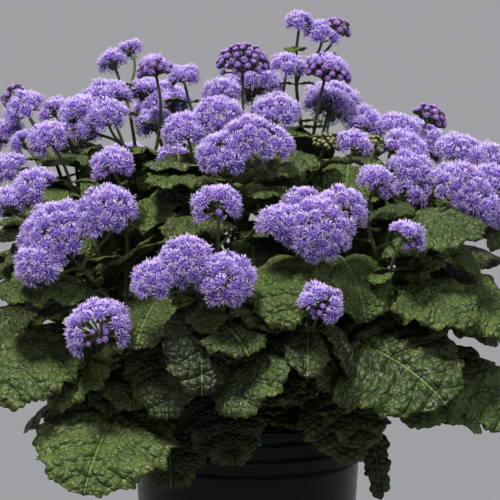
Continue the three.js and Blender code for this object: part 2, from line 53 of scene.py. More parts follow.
# ---- The plant's shape, as in the solids ---------------------------------------------------------------
POT = {
    "height": 165,
    "lip_radius": 82.5,
    "lip_height": 3,
    "lip_overhang": 2,
    "bands": 3,
    "band_drop": 11,
    "band_step": 1.5,
    "body_radius": 76.6,
    "base_radius": 68.5,
    "bevel": 1,
    "wall": 1.8,
    "floor": 2.8,
}
DRAIN = {"count": 4, "radius": 5, "ring": 44}
BAND_FOOT = POT["height"] - POT["bands"] * POT["band_drop"]
SOIL_TOP = 148
SOIL_CROWN = 5
SOIL_EDGE = POT["body_radius"] - 3.1
TRUNK = {"radius": 3, "buried": 28, "upright": 0.3, "sweep": 0.36, "lean": 0.3}
BRANCH = {"radius": 1.6, "lowest": 0.4, "highest": 0.97, "from": 130, "share": 0.6, "bow": (0.3, 0.42)}
HEAD = {"rim": 96, "rise": 0.45, "underside": 0.12, "sunk": 0.15, "tilt": 42, "tilt_reach": 170, "gap": 0.7}
BLADE = {"lobe": 0.15, "lobe_reach": 0.34, "arch": 0.2, "fold": 0.06, "thickness": 0.8}
PETIOLE = {"radius": 1.25, "bow": 0.45}
CLEARANCE = 0.35

# Each stem: where it leaves the soil, where it forks, and its heads. A head is a list of domes, each
# [x, y, z, width, kind], where kind is open, crescent (open round a gap of buds), half (open on top) or bud.
STEMS = {
    "front_left": ((-30, -28), (-75, -80, 235), {
        "large_left": [(-124, -125, 303, 54, "open"), (-91, -132, 318, 42, "open"), (-133, -138, 286, 36, "open")],
        "low_left": [(-95, -150, 246, 46, "crescent")],
        "high_left": [(-88, -105, 345, 32, "crescent")],
    }),
    "front_mid": ((-10, -42), (-28, -105, 218), {
        "arch": [(-38, -168, 291, 38, "open"), (-58, -170, 279, 32, "open"), (-13, -170, 279, 41, "open")],
        "centre_small": [(-19, -152, 323, 35, "crescent")],
    }),
    "front_right": ((14, -40), (38, -100, 225), {
        "centre_right": [
            (45, -148, 309, 50, "open"),
            (37, -134, 322, 30, "open"),
            (61, -133, 320, 36, "crescent"),
            (20, -152, 313, 30, "open"),
        ],
        "low_right": [(46, -175, 264, 32, "crescent")],
    }),
    "right_front": ((38, -26), (92, -72, 240), {
        "small_right": [(101, -140, 302, 28, "crescent")],
        "mid_right": [(84, -112, 335, 28, "crescent")],
        "large_right": [(142, -80, 327, 48, "open"), (164, -66, 329, 36, "open"), (157, -80, 315, 34, "open")],
    }),
    "middle": ((-6, -18), (-12, -62, 285), {
        "centre_large": [(2, -113, 363, 40, "open"), (-15, -118, 354, 38, "open"), (14, -113, 359, 36, "open")],
        "upper_left": [(-40, -62, 365, 36, "open"), (-20, -58, 374, 38, "open")],
        "tucked": [(-50, -28, 345, 24, "open")],
    }),
    "left": ((-46, -4), (-108, -42, 275), {
        "left_low": [(-140, -92, 329, 34, "open"), (-158, -94, 319, 26, "open")],
        "left_mid": [(-159, -52, 338, 28, "open")],
        "left_top": [(-133, -52, 359, 32, "open")],
        "left_crown": [(-152, -18, 376, 32, "open"), (-158, -9, 383, 18, "bud"), (-164, -11, 359, 28, "open")],
    }),
    "top_right": ((20, 6), (42, -4, 330), {
        "crown": [(36, 0, 433, 25, "open"), (52, 0, 425, 28, "open"), (61, 3, 428, 19, "bud")],
        "bud_right": [(54, -10, 401, 34, "half")],
        "behind_right": [(58, 28, 378, 32, "open")],
    }),
    "top_left": ((-22, 12), (-72, 4, 310), {
        "left_mass": [(-98, 4, 382, 40, "open"), (-115, -14, 374, 34, "open"), (-96, -24, 371, 35, "open")],
        "twin_left": [(-94, 38, 406, 24, "open"), (-81, 40, 414, 18, "open")],
        "bud_left": [(-63, -10, 402, 25, "half")],
        "pale_left": [(-60, 28, 376, 31, "open"), (-64, 13, 365, 31, "open"), (-72, 32, 386, 25, "open")],
    }),
    "right": ((46, 4), (102, -14, 290), {
        "right_chain": [
            (104, -10, 361, 35, "open"),
            (107, -30, 350, 36, "open"),
            (111, -50, 337, 36, "open"),
            (80, -2, 366, 34, "open"),
            (110, -59, 323, 27, "open"),
        ],
        "inner_right": [(72, -42, 354, 27, "open")],
        "bud_far_right": [(126, 16, 368, 23, "bud")],
        "right_edge": [(147, -18, 344, 44, "open"), (166, -8, 342, 28, "open")],
    }),
    "top_middle": ((0, 12), (-3, -8, 325), {
        "bud_front": [(-3, -38, 408, 35, "bud")],
        "top_right_small": [(27, -20, 405, 28, "open")],
        "top_centre": [(20, -66, 378, 35, "open")],
        "top_left_small": [(-17, 2, 386, 32, "open")],
        "top_back_small": [(-44, 22, 396, 25, "open")],
        "back_top": [(4, 66, 390, 46, "open")],
    }),
    "back_left": ((-28, 38), (-78, 84, 262), {
        "back_far_left": [(-126, 68, 350, 44, "open")],
        "back_upper_left": [(-62, 98, 374, 46, "open")],
        "back_side_left": [(-157, 100, 303, 42, "open")],
        "back_mid_left": [(-92, 142, 325, 50, "open")],
        "back_low_left": [(-50, 172, 266, 42, "crescent")],
    }),
    "back_right": ((24, 40), (72, 84, 262), {
        "back_upper_right": [(62, 86, 376, 46, "open")],
        "back_far_right": [(122, 64, 350, 44, "open")],
        "back_centre": [(-22, 148, 344, 46, "open")],
        "back_mid_right": [(42, 150, 330, 50, "open")],
        "back_side_right": [(106, 130, 312, 46, "open")],
        "back_low_right": [(36, 182, 260, 40, "crescent")],
        "back_edge_right": [(162, 62, 300, 38, "open")],
    }),
}

# Leaves at the front: foot of the blade x, y, z, azimuth, pitch at the foot and at the tip, length, width, roll.
FRONT_LEAVES = [
    (-78, -98, 188, -109, -10, -55, 90, 90, -10),
    (52, -108, 234, -34, -4, -42, 98, 92, 34),
    (-84, -96, 208, -96, -14, -62, 40, 36, -4),
    (-112, -104, 232, -142, -12, -62, 70, 60, -24),
    (-58, -108, 240, -42, -4, -50, 72, 54, 30),
    (-100, -100, 262, -150, 22, -26, 66, 56, -14),
    (4, -118, 262, -72, 6, -50, 54, 48, 6),
    (-27, -88, 198, -66, -28, -76, 60, 54, 6),
    (-52, -86, 182, -84, -36, -84, 58, 50, 0),
    (8, -92, 210, -80, 8, -50, 52, 54, 0),
    (20, -92, 232, -70, -8, -60, 52, 48, 6),
    (36, -112, 286, -104, -20, -66, 60, 52, 0),
    (62, -104, 282, -58, -6, -56, 52, 46, 12),
    (80, -96, 262, -34, 4, -40, 62, 52, 24),
    (50, -84, 190, -60, -26, -68, 54, 50, 12),
    (122, -82, 217, -34, -18, -60, 76, 52, 24),
    (116, -90, 264, -20, -4, -52, 72, 58, 26),
    (90, -102, 292, -16, 14, -30, 66, 50, 28),
    (78, -74, 174, -62, -54, -86, 56, 20, 60),
    (64, -80, 196, -74, -30, -74, 52, 48, 0),
    (-72, -96, 302, 40, 50, 10, 48, 44, 0),
    (-26, -84, 332, -134, 20, -22, 50, 40, -12),
    (-14, -104, 306, -138, 12, -24, 52, 38, -12),
    (-146, -74, 246, -162, -24, -68, 52, 46, -20),
    (-56, -116, 258, -112, 4, -46, 48, 44, -6),
    (126, -66, 312, -100, -18, -60, 62, 50, 10),
    (150, -50, 308, -34, -8, -54, 54, 48, 20),
    (42, -66, 346, -128, 8, -34, 56, 38, -14),
    (58, -62, 338, -60, 24, -14, 46, 36, 14),
    (34, -86, 326, -134, 14, -18, 48, 36, -12),
    (-6, -82, 264, -86, 16, -40, 52, 48, 0),
    (-66, -86, 212, -100, 0, -48, 58, 54, -10),
    (92, -74, 216, -58, 0, -50, 66, 58, 14),
    (26, -76, 250, -70, 10, -44, 60, 54, 8),
    (-104, -60, 296, -160, 20, -30, 50, 42, -10),
    (70, -62, 300, -40, 20, -26, 50, 40, 12),
]
# The rest of the foliage: height, radius, how many all round, pitch at the foot and at the tip, length, width.
LEAF_RINGS = [
    (192, 84, 8, -8, -48, 88, 84),
    (214, 100, 8, -2, -54, 84, 76),
    (244, 116, 9, 6, -46, 74, 66),
    (274, 124, 9, 12, -44, 66, 58),
    (304, 108, 10, 20, -34, 60, 50),
    (334, 76, 8, 26, -24, 52, 42),
]
RINGS_AT_FRONT = 5
FRONT_FROM, FRONT_TO = -152, -28
RING_JITTER = {"azimuth": 14, "height": 9, "size": 0.2}
BENDS = [
    (size, turn, shift, dip)
    for size in (1, 0.86)
    for turn in (0, 8, -8, 16, -16, 26, -26, 38, -38)
    for shift in (0, 9, 18)
    for dip in (0, 8, -8, 16, -16, 24)
]
ROOT = {"from": 0.25, "to": 0.97, "steps": 24, "rise": 0.2}


@dataclass
class Leaf:
    foot: np.ndarray
    azimuth: float
    foot_pitch: float
    tip_pitch: float
    length: float
    width: float
    roll: float
    root: np.ndarray = None
    stem: str = None


@dataclass
class Stem:
    base: tuple
    fork: tuple
    heads: dict
    trunk: list
    branches: dict


def unit(v):
    v = np.asarray(v, float)
    return v / np.linalg.norm(v, axis=-1, keepdims=True)


def bezier(points, t):
    """Places on a Bezier curve, one row for each t."""
    rows = [np.asarray(p, float)[None, :] for p in points]
    t = np.atleast_1d(np.asarray(t, float))[:, None]
    while len(rows) > 1:
        rows = [a * (1 - t) + b * t for a, b in zip(rows, rows[1:])]
    return rows[0]


def draw(i, salt):
    """A draw from 0 to 1 that is the same every run."""
    s = math.sin(i * 12.9898 + salt * 78.233) * 43758.5453
    return s - math.floor(s)


def level(angle):
    """The level direction at an azimuth in degrees."""
    return np.array([math.cos(math.radians(angle)), math.sin(math.radians(angle)), 0.0])


def trunk_curve(base, fork):
    end = np.array(fork, float)
    rise = end[2] - SOIL_TOP
    lean = np.array([end[0] - base[0], end[1] - base[1], 0])
    return [
        np.array([*base, SOIL_TOP - TRUNK["buried"]], float),
        np.array([*base, SOIL_TOP + TRUNK["upright"] * rise], float),
        end - TRUNK["lean"] * lean - np.array([0, 0, TRUNK["sweep"] * rise]),
        end,
    ]


def head_axis(x, y):
    """The way a head faces: up at the middle of the plant, and leaning out towards its edge."""
    reach = math.hypot(x, y)
    tilt = math.radians(HEAD["tilt"]) * min(1, reach / HEAD["tilt_reach"])
    return np.array([math.sin(tilt) * x / reach, math.sin(tilt) * y / reach, math.cos(tilt)])


def head_middle(dome):
    x, y, z, width, _ = dome
    return np.array([x, y, z]) - HEAD["sunk"] * width * head_axis(x, y)


def head_hub(dome):
    """Where the stalk meets a dome, just under it."""
    axis = head_axis(*dome[:2])
    return head_middle(dome) - axis * (HEAD["underside"] * dome[3] + CLEARANCE)


def branch_curve(fork, trunk, dome):
    axis = head_axis(*dome[:2])
    end = head_hub(dome)
    height = (dome[2] - BRANCH["from"]) / (fork[2] - BRANCH["from"])
    start = min(max(BRANCH["share"] * height, BRANCH["lowest"]), BRANCH["highest"])
    near = bezier(trunk, [start - 1e-4, start, start + 1e-4])
    reach = np.linalg.norm(end - near[1])
    return [
        near[1],
        near[1] + unit(near[2] - near[0]) * BRANCH["bow"][0] * reach,
        end - axis * BRANCH["bow"][1] * reach,
        end,
    ]


def grow_stems():
    stems = {}
    for name, (base, fork, heads) in STEMS.items():
        trunk = trunk_curve(base, fork)
        branches = {head: branch_curve(fork, trunk, domes[0]) for head, domes in heads.items()}
        stems[name] = Stem(base, fork, heads, trunk, branches)
    return stems


stems = grow_stems()

# ---- Leaves: where they are ----------------------------------------------------------------------------


def outline(u):
    """Half-width of a blade as a share of its greatest."""
    u = np.clip(u, 0, 1)
    return u**0.42 * (1 - u) ** 0.58 / 0.508


def midrib(leaf, u):
    """Places and directions along a blade's midrib, an arc from the one pitch to the other."""
    u = np.atleast_1d(np.asarray(u, float))[:, None]
    way = level(leaf.azimuth)
    p0, p1 = math.radians(leaf.foot_pitch), math.radians(leaf.tip_pitch)
    pitch = p0 + (p1 - p0) * u
    up = np.array([0, 0, 1.0])
    at = (
        leaf.foot
        + way * leaf.length * (np.sin(pitch) - math.sin(p0)) / (p1 - p0)
        + up * leaf.length * (math.cos(p0) - np.cos(pitch)) / (p1 - p0)
    )
    return at, way * np.cos(pitch) + up * np.sin(pitch)


def on_blade(leaf, u, v, lift, shift=(0, 0)):
    """Places on a blade: u along the midrib, v across it with the margin at 1 and -1, lift off its face and a
    shift along and across it, in millimetres."""
    u, v = (np.atleast_1d(np.asarray(a, float)) for a in (u, v))
    at, along = midrib(leaf, u)
    a, roll = math.radians(leaf.azimuth), math.radians(leaf.roll)
    flat = np.array([math.sin(a), -math.cos(a), 0.0])
    across = flat * math.cos(roll) + np.cross(along, flat) * math.sin(roll)
    normal = np.cross(across, along)
    half = 0.5 * leaf.width * outline(u)
    droop = half * (BLADE["fold"] * np.abs(v) - BLADE["arch"] * v**2)
    return (
        at
        + along * (shift[0] - back_lobe(leaf, u, v))[:, None]
        + across * (half * v + shift[1])[:, None]
        + normal * (lift + droop)[:, None]
    )


def back_lobe(leaf, u, v):
    """How far the lobes beside the petiole reach back."""
    return BLADE["lobe"] * leaf.length * v**2 * np.maximum(0, 1 - u / BLADE["lobe_reach"]) ** 2


def wood_places():
    """Places where a petiole may leave the wood, and the stem of each."""
    shares = ROOT["from"] + (ROOT["to"] - ROOT["from"]) * np.arange(ROOT["steps"] + 1) / ROOT["steps"]
    places, owners = [], []
    for name, stem in stems.items():
        for curve in [stem.trunk, *stem.branches.values()]:
            places.append(bezier(curve, shares))
            owners += [name] * len(shares)
    return np.concatenate(places), owners


def rooted(leaf, places, owners):
    """The leaf with the nearest place on the wood from which its petiole rises."""
    far = np.linalg.norm(places - leaf.foot, axis=1)
    rises = leaf.foot[2] - places[:, 2] > ROOT["rise"] * far
    best = int(np.argmin(np.where(rises, far, np.inf)))
    return replace(leaf, root=places[best], stem=owners[best])


def ring_leaves():
    leaves = []
    for ring, (height, radius, count, foot_pitch, tip_pitch, length, width) in enumerate(LEAF_RINGS):
        for i in range(count):
            jitter = [draw(i + 20 * ring, salt) - 0.5 for salt in range(6)]
            around = -180 + 360 * (i + 0.5 * (ring % 2)) / count + RING_JITTER["azimuth"] * jitter[1]
            if ring < RINGS_AT_FRONT and FRONT_FROM < around < FRONT_TO:
                continue
            foot = radius * level(around) + np.array([0, 0, height + RING_JITTER["height"] * jitter[2]])
            size = 1 + RING_JITTER["size"] * jitter[3]
            azimuth = around + 2 * RING_JITTER["azimuth"] * jitter[4]
            roll = RING_JITTER["azimuth"] * jitter[5]
            leaves.append(Leaf(foot, azimuth, foot_pitch, tip_pitch, length * size, width * size, roll))
    return leaves


def bends_of(leaf):
    """The leaf in each of the bends that it may take."""
    for size, turn, shift, dip in BENDS:
        yield replace(
            leaf,
            foot=leaf.foot + shift * level(leaf.azimuth),
            length=leaf.length * size,
            width=leaf.width * size,
            azimuth=leaf.azimuth + turn,
            foot_pitch=leaf.foot_pitch - dip,
            tip_pitch=leaf.tip_pitch - dip,
        )


def as_bent(leaf):
    """The leaf in the bend that its solid took, found by the solid's own tip, or None if it was left out."""
    tree = tip_finder(leaf.stem)
    for bent in bends_of(leaf):
        tips = [on_blade(bent, 1, 0, lift)[0] for lift in (0.5 * BLADE["thickness"], -0.5 * BLADE["thickness"])]
        if all(tree.find(tip)[2] < 0.01 for tip in tips):
            return bent
    return None


tip_finders = {}


def tip_finder(stem):
    if stem not in tip_finders:
        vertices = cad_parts["stem_" + stem].data.vertices
        tree = KDTree(len(vertices))
        for i, v in enumerate(vertices):
            tree.insert(v.co / MM, i)
        tree.balance()
        tip_finders[stem] = tree
    return tip_finders[stem]


places_on_wood, wood_owners = wood_places()
front = [Leaf(np.array(row[:3], float), *row[3:]) for row in FRONT_LEAVES]
asked = [rooted(leaf, places_on_wood, wood_owners) for leaf in front + ring_leaves()]
main_leaves = [leaf for leaf in map(as_bent, asked) if leaf]
print(f"leaves found in the solids: {len(main_leaves)} of {len(asked)}")

# Small heads that have no solid of their own: the stem each grows from, and its dome. A young one is still green.
SMALL_HEADS = {
    "young_middle": ("middle", (51, -80, 357, 18, "young")),
    "young_right": ("right_front", (86, -62, 356, 13, "young")),
    "small_back_left": ("left", (-134, 14, 373, 24, "open")),
    "small_inner_left": ("left", (-151, -30, 354, 20, "open")),
}
for head, (name, dome) in SMALL_HEADS.items():
    stems[name].heads[head] = [dome]
    stems[name].branches[head] = branch_curve(stems[name].fork, stems[name].trunk, dome)

# ---- Mesh tools ----------------------------------------------------------------------------------------


def to_mesh(bm, name):
    mesh = bpy.data.meshes.new(name)
    bm.to_mesh(mesh)
    bm.free()
    return mesh


def places_of(mesh):
    co = np.empty(len(mesh.vertices) * 3)
    mesh.vertices.foreach_get("co", co)
    return co.reshape(-1, 3)


def copies(template, count):
    """One mesh of that many copies of the template, one after another."""
    if count == 1:
        return template
    half = copies(template, count // 2)
    bm = bmesh.new()
    for part in [half, half] + [template] * (count % 2):
        bm.from_mesh(part)
    return to_mesh(bm, template.name)


def repeated(template, places, **marks):
    """Copies of a template with their vertices at the given places, (copies, vertices, 3), in millimetres. Each
    mark is a number for every vertex, kept as an attribute."""
    mesh = copies(template, len(places))
    if mesh == template:
        mesh = template.copy()
    mesh.vertices.foreach_set("co", (places * MM).astype(np.float32).ravel())
    for name, values in marks.items():
        mark(mesh, name, np.broadcast_to(values, places.shape[:2]))
    mesh.update()
    return mesh


def mark(mesh, name, values):
    """A number, or three, on each vertex."""
    values = np.asarray(values, np.float32)
    kind, field = ("FLOAT_VECTOR", "vector") if values.shape[-1] == 3 and values.ndim > 1 else ("FLOAT", "value")
    if values.ndim > 1 and kind == "FLOAT":
        values = values.ravel()
    attribute = mesh.attributes.get(name) or mesh.attributes.new(name, kind, "POINT")
    attribute.data.foreach_set(field, np.ascontiguousarray(values).ravel())


def joined(name, parts):
    """One mesh of several, each with the number of its material. Their marks have the same names."""
    bm = bmesh.new()
    for mesh, material in parts:
        mesh.polygons.foreach_set("material_index", np.full(len(mesh.polygons), material, np.int32))
        bm.from_mesh(mesh)
    return to_mesh(bm, name)


def rod(sides, stations, pointed=False):
    """A straight closed rod along Z from 0 to 1, cut across at each station."""
    bm = bmesh.new()
    bmesh.ops.create_cone(
        bm, cap_ends=True, cap_tris=False, segments=sides, radius1=1, radius2=0 if pointed else 1, depth=1
    )
    bmesh.ops.remove_doubles(bm, verts=bm.verts, dist=1e-5)
    bmesh.ops.translate(bm, verts=bm.verts, vec=(0, 0, 0.5))
    if stations > 2:
        rising = [e for e in bm.edges if abs(e.verts[0].co.z - e.verts[1].co.z) > 0.5]
        bmesh.ops.subdivide_edges(bm, edges=rising, cuts=stations - 2, use_grid_fill=True)
    return to_mesh(bm, "rod")


def swept(template, paths, radii, flatten=1.0):
    """Places of a rod's vertices for each path, (paths, stations, 3), with a radius at each station."""
    paths = np.asarray(paths, float)
    radii = np.broadcast_to(radii, paths.shape[:2])
    co = places_of(template)
    station = np.round(co[:, 2] * (paths.shape[1] - 1)).astype(int)
    round_by = np.hypot(co[:, 0], co[:, 1])
    spoke = co[:, :2] / np.maximum(round_by, 1e-6)[:, None] * (round_by > 1e-6)[:, None]
    along = unit(np.gradient(paths, axis=1) + 1e-12)
    chord = unit(paths[:, -1] - paths[:, 0] + 1e-9)
    aside = unit(np.cross(chord, np.where(np.abs(chord[:, 2:]) > 0.8, [1.0, 0, 0], [0, 0, 1.0])))
    first = unit(aside[:, None] - (aside[:, None] * along).sum(-1, keepdims=True) * along)
    second = np.cross(along, first)
    ring = first[:, station] * spoke[:, :1] + flatten * second[:, station] * spoke[:, 1:]
    return paths[:, station] + ring * radii[:, station][..., None]


def turned(ways, spins):
    """For each way, the matrix that turns Z to it, with a spin about it."""
    way = unit(ways)
    side = unit(np.cross(way, np.where(np.abs(way[..., 2:]) > 0.9, [1.0, 0, 0], [0, 0, 1.0])))
    other = np.cross(way, side)
    cos, sin = np.cos(spins)[..., None], np.sin(spins)[..., None]
    return np.stack([side * cos + other * sin, other * cos - side * sin, way], axis=-1)


def piece(name, mesh, materials, slot, *nodes):
    """Shows a mesh as a piece of the object that stands for these nodes."""
    mesh.name = name
    for material in materials:
        mesh.materials.append(material)
    ob = bpy.data.objects.new(name, mesh)
    bpy.context.scene.collection.objects.link(ob)
    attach(ob, "root")
    if nodes:
        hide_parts(*nodes)
    return ob


# ---- Materials -----------------------------------------------------------------------------------------


def colour(hex_value):
    """An sRGB hex colour as linear numbers."""
    parts = [int(hex_value[i : i + 2], 16) / 255 for i in (0, 2, 4)]
    return [c / 12.92 if c <= 0.04045 else ((c + 0.055) / 1.055) ** 2.4 for c in parts] + [1.0]


def node(tree, kind, links=None, stops=(), **settings):
    """Adds a shader node. links gives its inputs a value or another node's output, and stops a ramp's colours."""
    made = tree.nodes.new("ShaderNode" + kind)
    for name, value in settings.items():
        setattr(made, name, value)
    for i, (place, hex_value) in enumerate(stops):
        elements = made.color_ramp.elements
        element = elements[i] if i < 2 else elements.new(place)
        element.position, element.color = place, colour(hex_value)
    for socket, value in (links or {}).items():
        if isinstance(value, bpy.types.NodeSocket):
            tree.links.new(value, made.inputs[socket])
        else:
            made.inputs[socket].default_value = value
    return made


def new_material(name, **constants):
    """A material with its tree and its Principled shader, whose even values are set here."""
    material = bpy.data.materials.new(name)
    material.use_nodes = True
    shader = material.node_tree.nodes["Principled BSDF"]
    for socket, value in constants.items():
        shader.inputs[socket.replace("_", " ")].default_value = value
    return material, material.node_tree, shader


def floss_threads():
    # Style branches of the florets: soft, matt, translucent threads, deep violet at the root and pale at the tip.
    material, tree, shader = new_material("floss_threads", Roughness=0.75, IOR=1.4, Sheen_Weight=0.15)
    reach = node(tree, "Attribute", attribute_name="reach").outputs["Fac"]
    shade = node(tree, "Attribute", attribute_name="shade").outputs["Fac"]
    cool = node(tree, "ValToRGB", {"Fac": reach}, [(0, "1e1246"), (0.22, "7352ca"), (0.55, "ab8ff2"), (1, "cdbff4")])
    warm = node(tree, "ValToRGB", {"Fac": reach}, [(0, "2a164a"), (0.22, "875acc"), (0.55, "c09af2"), (1, "dcc9f4")])
    mixed = node(tree, "Mix", {0: shade, 6: cool.outputs[0], 7: warm.outputs[0]}, data_type="RGBA")
    tree.links.new(mixed.outputs[2], shader.inputs["Base Color"])
    return material


def bud_florets():
    # Unopened florets: small waxy beads, lilac in the middle of a bud and dark violet round its rim, where the darker
    # colour is painted shade.
    material, tree, shader = new_material("bud_florets", Roughness=0.5, IOR=1.42, Sheen_Weight=0.1)
    reach = node(tree, "Attribute", attribute_name="reach").outputs["Fac"]
    shade = node(tree, "Attribute", attribute_name="shade").outputs["Fac"]
    violet = node(tree, "ValToRGB", {"Fac": reach}, [(0, "281638"), (0.45, "7450ae"), (1, "b592e8")])
    pink = node(tree, "ValToRGB", {"Fac": reach}, [(0, "321c38"), (0.45, "8860b2"), (1, "caa2e4")])
    mixed = node(tree, "Mix", {0: shade, 6: violet.outputs[0], 7: pink.outputs[0]}, data_type="RGBA")
    tree.links.new(mixed.outputs[2], shader.inputs["Base Color"])
    return material


def young_florets():
    # Buds that have just formed: smooth yellow-green beads with a dull pink tip.
    material, tree, shader = new_material("young_florets", Roughness=0.5, IOR=1.42, Sheen_Weight=0.1)
    reach = node(tree, "Attribute", attribute_name="reach").outputs["Fac"]
    shade = node(tree, "Attribute", attribute_name="shade").outputs["Fac"]
    green = node(tree, "ValToRGB", {"Fac": reach}, [(0, "222a12"), (0.6, "58662a"), (1, "7c8c44")])
    pink = node(tree, "ValToRGB", {"Fac": reach}, [(0, "282e16"), (0.6, "687032"), (1, "948c68")])
    mixed = node(tree, "Mix", {0: shade, 6: green.outputs[0], 7: pink.outputs[0]}, data_type="RGBA")
    tree.links.new(mixed.outputs[2], shader.inputs["Base Color"])
    return material


def leaf_material(name, dark, light, vein, rough, gloss, raised):
    """A bullate, softly hairy leaf. Its marks give the coordinates of its veins, and between them the blade puffs
    up in cells 4.5 mm wide that a net of fine veins parts again. On the upper face the veins are sunk, and
    underneath they stand out."""
    material, tree, shader = new_material(name, Roughness=rough, IOR=1.5, Specular_IOR_Level=gloss)
    blade = node(tree, "Attribute", attribute_name="blade").outputs["Vector"]
    veins = node(tree, "Attribute", attribute_name="veins").outputs["Vector"]
    # tone: each leaf's own tone, lowered as painted shade on leaves low in the middle of the plant.
    tone = node(tree, "Attribute", attribute_name="tone").outputs["Fac"]
    sway = node(tree, "TexNoise", {"Vector": blade, "Scale": 0.16, "Detail": 2.0})
    shifted = node(tree, "VectorMath", {0: sway.outputs["Color"], 1: (3.2, 3.2, 0.0), 2: blade}, operation="MULTIPLY_ADD")
    warped = shifted.outputs[0]

    def cells(scale, feature):
        return node(
            tree, "TexVoronoi", {"Vector": warped, "Scale": scale, "Randomness": 0.9},
            voronoi_dimensions="2D", feature=feature,
        ).outputs["Distance"]

    def rise(value, start, end, low=0.0, high=1.0):
        return node(
            tree, "MapRange", {0: value, 1: start, 2: end, 3: low, 4: high}, interpolation_type="SMOOTHSTEP"
        ).outputs[0]

    def sums(*terms):
        """The sum of values times their weights."""
        total = 0.0
        for value, weight in terms:
            total = node(tree, "Math", {0: value, 1: weight, 2: total}, operation="MULTIPLY_ADD").outputs[0]
        return total

    split = node(tree, "SeparateXYZ", {0: veins})
    lateral = node(tree, "Math", {0: split.outputs["X"], 1: 0.5}, operation="PINGPONG").outputs[0]
    puff = rise(cells(0.19, "F1"), 0.75, 0.05)
    net, fine_net = rise(cells(0.19, "DISTANCE_TO_EDGE"), 0.0, 0.34), rise(cells(0.5, "DISTANCE_TO_EDGE"), 0.0, 0.34)
    off_rib, off_lateral = rise(split.outputs["Z"], 0.2, 1.8), rise(lateral, 0.0, 0.14)
    grain = node(tree, "TexNoise", {"Vector": blade, "Scale": 1.6, "Detail": 3.0}).outputs["Fac"]
    pillow = rise(lateral, 0.0, 0.5)
    height = sums(
        (puff, 0.5), (net, 0.3), (fine_net, 0.16), (pillow, 0.5), (off_rib, 0.45), (off_lateral, 0.35), (grain, 0.06)
    )
    bump = node(tree, "Bump", {"Height": height, "Strength": 1.0, "Distance": 1.9 * MM}, invert=raised)
    tree.links.new(bump.outputs[0], shader.inputs["Normal"])

    patches = node(tree, "TexNoise", {"Vector": blade, "Scale": 0.06, "Detail": 3.0}).outputs["Fac"]
    # The green is lighter on the tops of the puffed cells and darker in the creases of the net and beside the side
    # veins: painted highlight and painted shade, added to each leaf's tone and patches.
    share = sums(
        (rise(patches, 0.3, 0.7, -0.14, 0.14), 1.0), (tone, 1.0), (puff, 0.12), (net, 0.1), (fine_net, 0.05), (off_lateral, 0.06)
    )
    ground = node(tree, "Mix", {0: share, 6: colour(dark), 7: colour(light)}, data_type="RGBA", clamp_factor=True)
    rib_line, lateral_line = rise(split.outputs["Z"], 0.3, 0.8, 1.0, 0.0), rise(lateral, 0.01, 0.04, 0.5, 0.0)
    line = node(tree, "Math", {0: rib_line, 1: lateral_line}, operation="MAXIMUM").outputs[0]
    pale = node(tree, "Math", {0: line, 1: 0.45}, operation="MULTIPLY").outputs[0]
    veined = node(tree, "Mix", {0: pale, 6: ground.outputs[2], 7: colour(vein)}, data_type="RGBA")
    tree.links.new(veined.outputs[2], shader.inputs["Base Color"])
    return material


def hairy_stem():
    # Herbaceous stem: olive green flushed with purple, finely ribbed along, softly glossy under its hairs.
    material, tree, shader = new_material("hairy_stem", Roughness=0.55, IOR=1.42, Sheen_Weight=0.2)
    place = node(tree, "TexCoord").outputs["Object"]
    flush = node(tree, "TexNoise", {"Vector": place, "Scale": 28.0, "Detail": 3.0})
    ground = node(
        tree, "ValToRGB", {"Fac": flush.outputs["Fac"]}, [(0.34, "453f2c"), (0.5, "48552a"), (0.68, "66763c")]
    )
    tree.links.new(ground.outputs[0], shader.inputs["Base Color"])
    pits = node(tree, "TexNoise", {"Vector": place, "Scale": 1400.0, "Detail": 2.0})
    bump = node(tree, "Bump", {"Height": pits.outputs["Fac"], "Strength": 0.4, "Distance": 0.2 * MM})
    tree.links.new(bump.outputs[0], shader.inputs["Normal"])
    return material


def flower_cup():
    # Bracts round each tuft: narrow, leathery and hairy, green at the foot and purplish at the tip.
    material, tree, shader = new_material("flower_cup", Roughness=0.6, IOR=1.42, Sheen_Weight=0.2)
    reach = node(tree, "Attribute", attribute_name="reach").outputs["Fac"]
    ground = node(tree, "ValToRGB", {"Fac": reach}, [(0, "6d7c45"), (0.5, "58613a"), (1, "64465f")])
    tree.links.new(ground.outputs[0], shader.inputs["Base Color"])
    return material


def stem_hair():
    # Fine straight hairs, glassy white.
    material, tree, shader = new_material("stem_hair", Roughness=0.45, IOR=1.45)
    reach = node(tree, "Attribute", attribute_name="reach").outputs["Fac"]
    ground = node(tree, "ValToRGB", {"Fac": reach}, [(0, "8d9670"), (1, "d8dccb")])
    tree.links.new(ground.outputs[0], shader.inputs["Base Color"])
    return material


def moulded_pot():
    # Black injection-moulded polypropylene: a fine even grain, thin scuffs round it and dust near the soil.
    material, tree, shader = new_material("moulded_pot", IOR=1.49, Specular_IOR_Level=0.2)
    place = node(tree, "TexCoord").outputs["Object"]
    dust = node(tree, "TexNoise", {"Vector": place, "Scale": 35.0, "Detail": 6.0, "Roughness": 0.6})
    stretched = node(tree, "Mapping", {"Vector": place, "Scale": (60.0, 60.0, 900.0)})
    scuffs = node(tree, "TexNoise", {"Vector": stretched.outputs[0], "Scale": 1.0, "Detail": 4.0})
    ground = node(
        tree, "ValToRGB", {"Fac": dust.outputs["Fac"]}, [(0.4, "020203"), (0.62, "050506"), (0.8, "0c0b0a")]
    )
    tree.links.new(ground.outputs[0], shader.inputs["Base Color"])
    rough = node(tree, "MapRange", {0: scuffs.outputs["Fac"], 1: 0.3, 2: 0.7, 3: 0.2, 4: 0.36})
    tree.links.new(rough.outputs[0], shader.inputs["Roughness"])
    grain = node(tree, "TexNoise", {"Vector": place, "Scale": 1800.0, "Detail": 2.0})
    bump = node(tree, "Bump", {"Height": grain.outputs["Fac"], "Strength": 0.25, "Distance": 0.15 * MM})
    tree.links.new(bump.outputs[0], shader.inputs["Normal"])
    return material


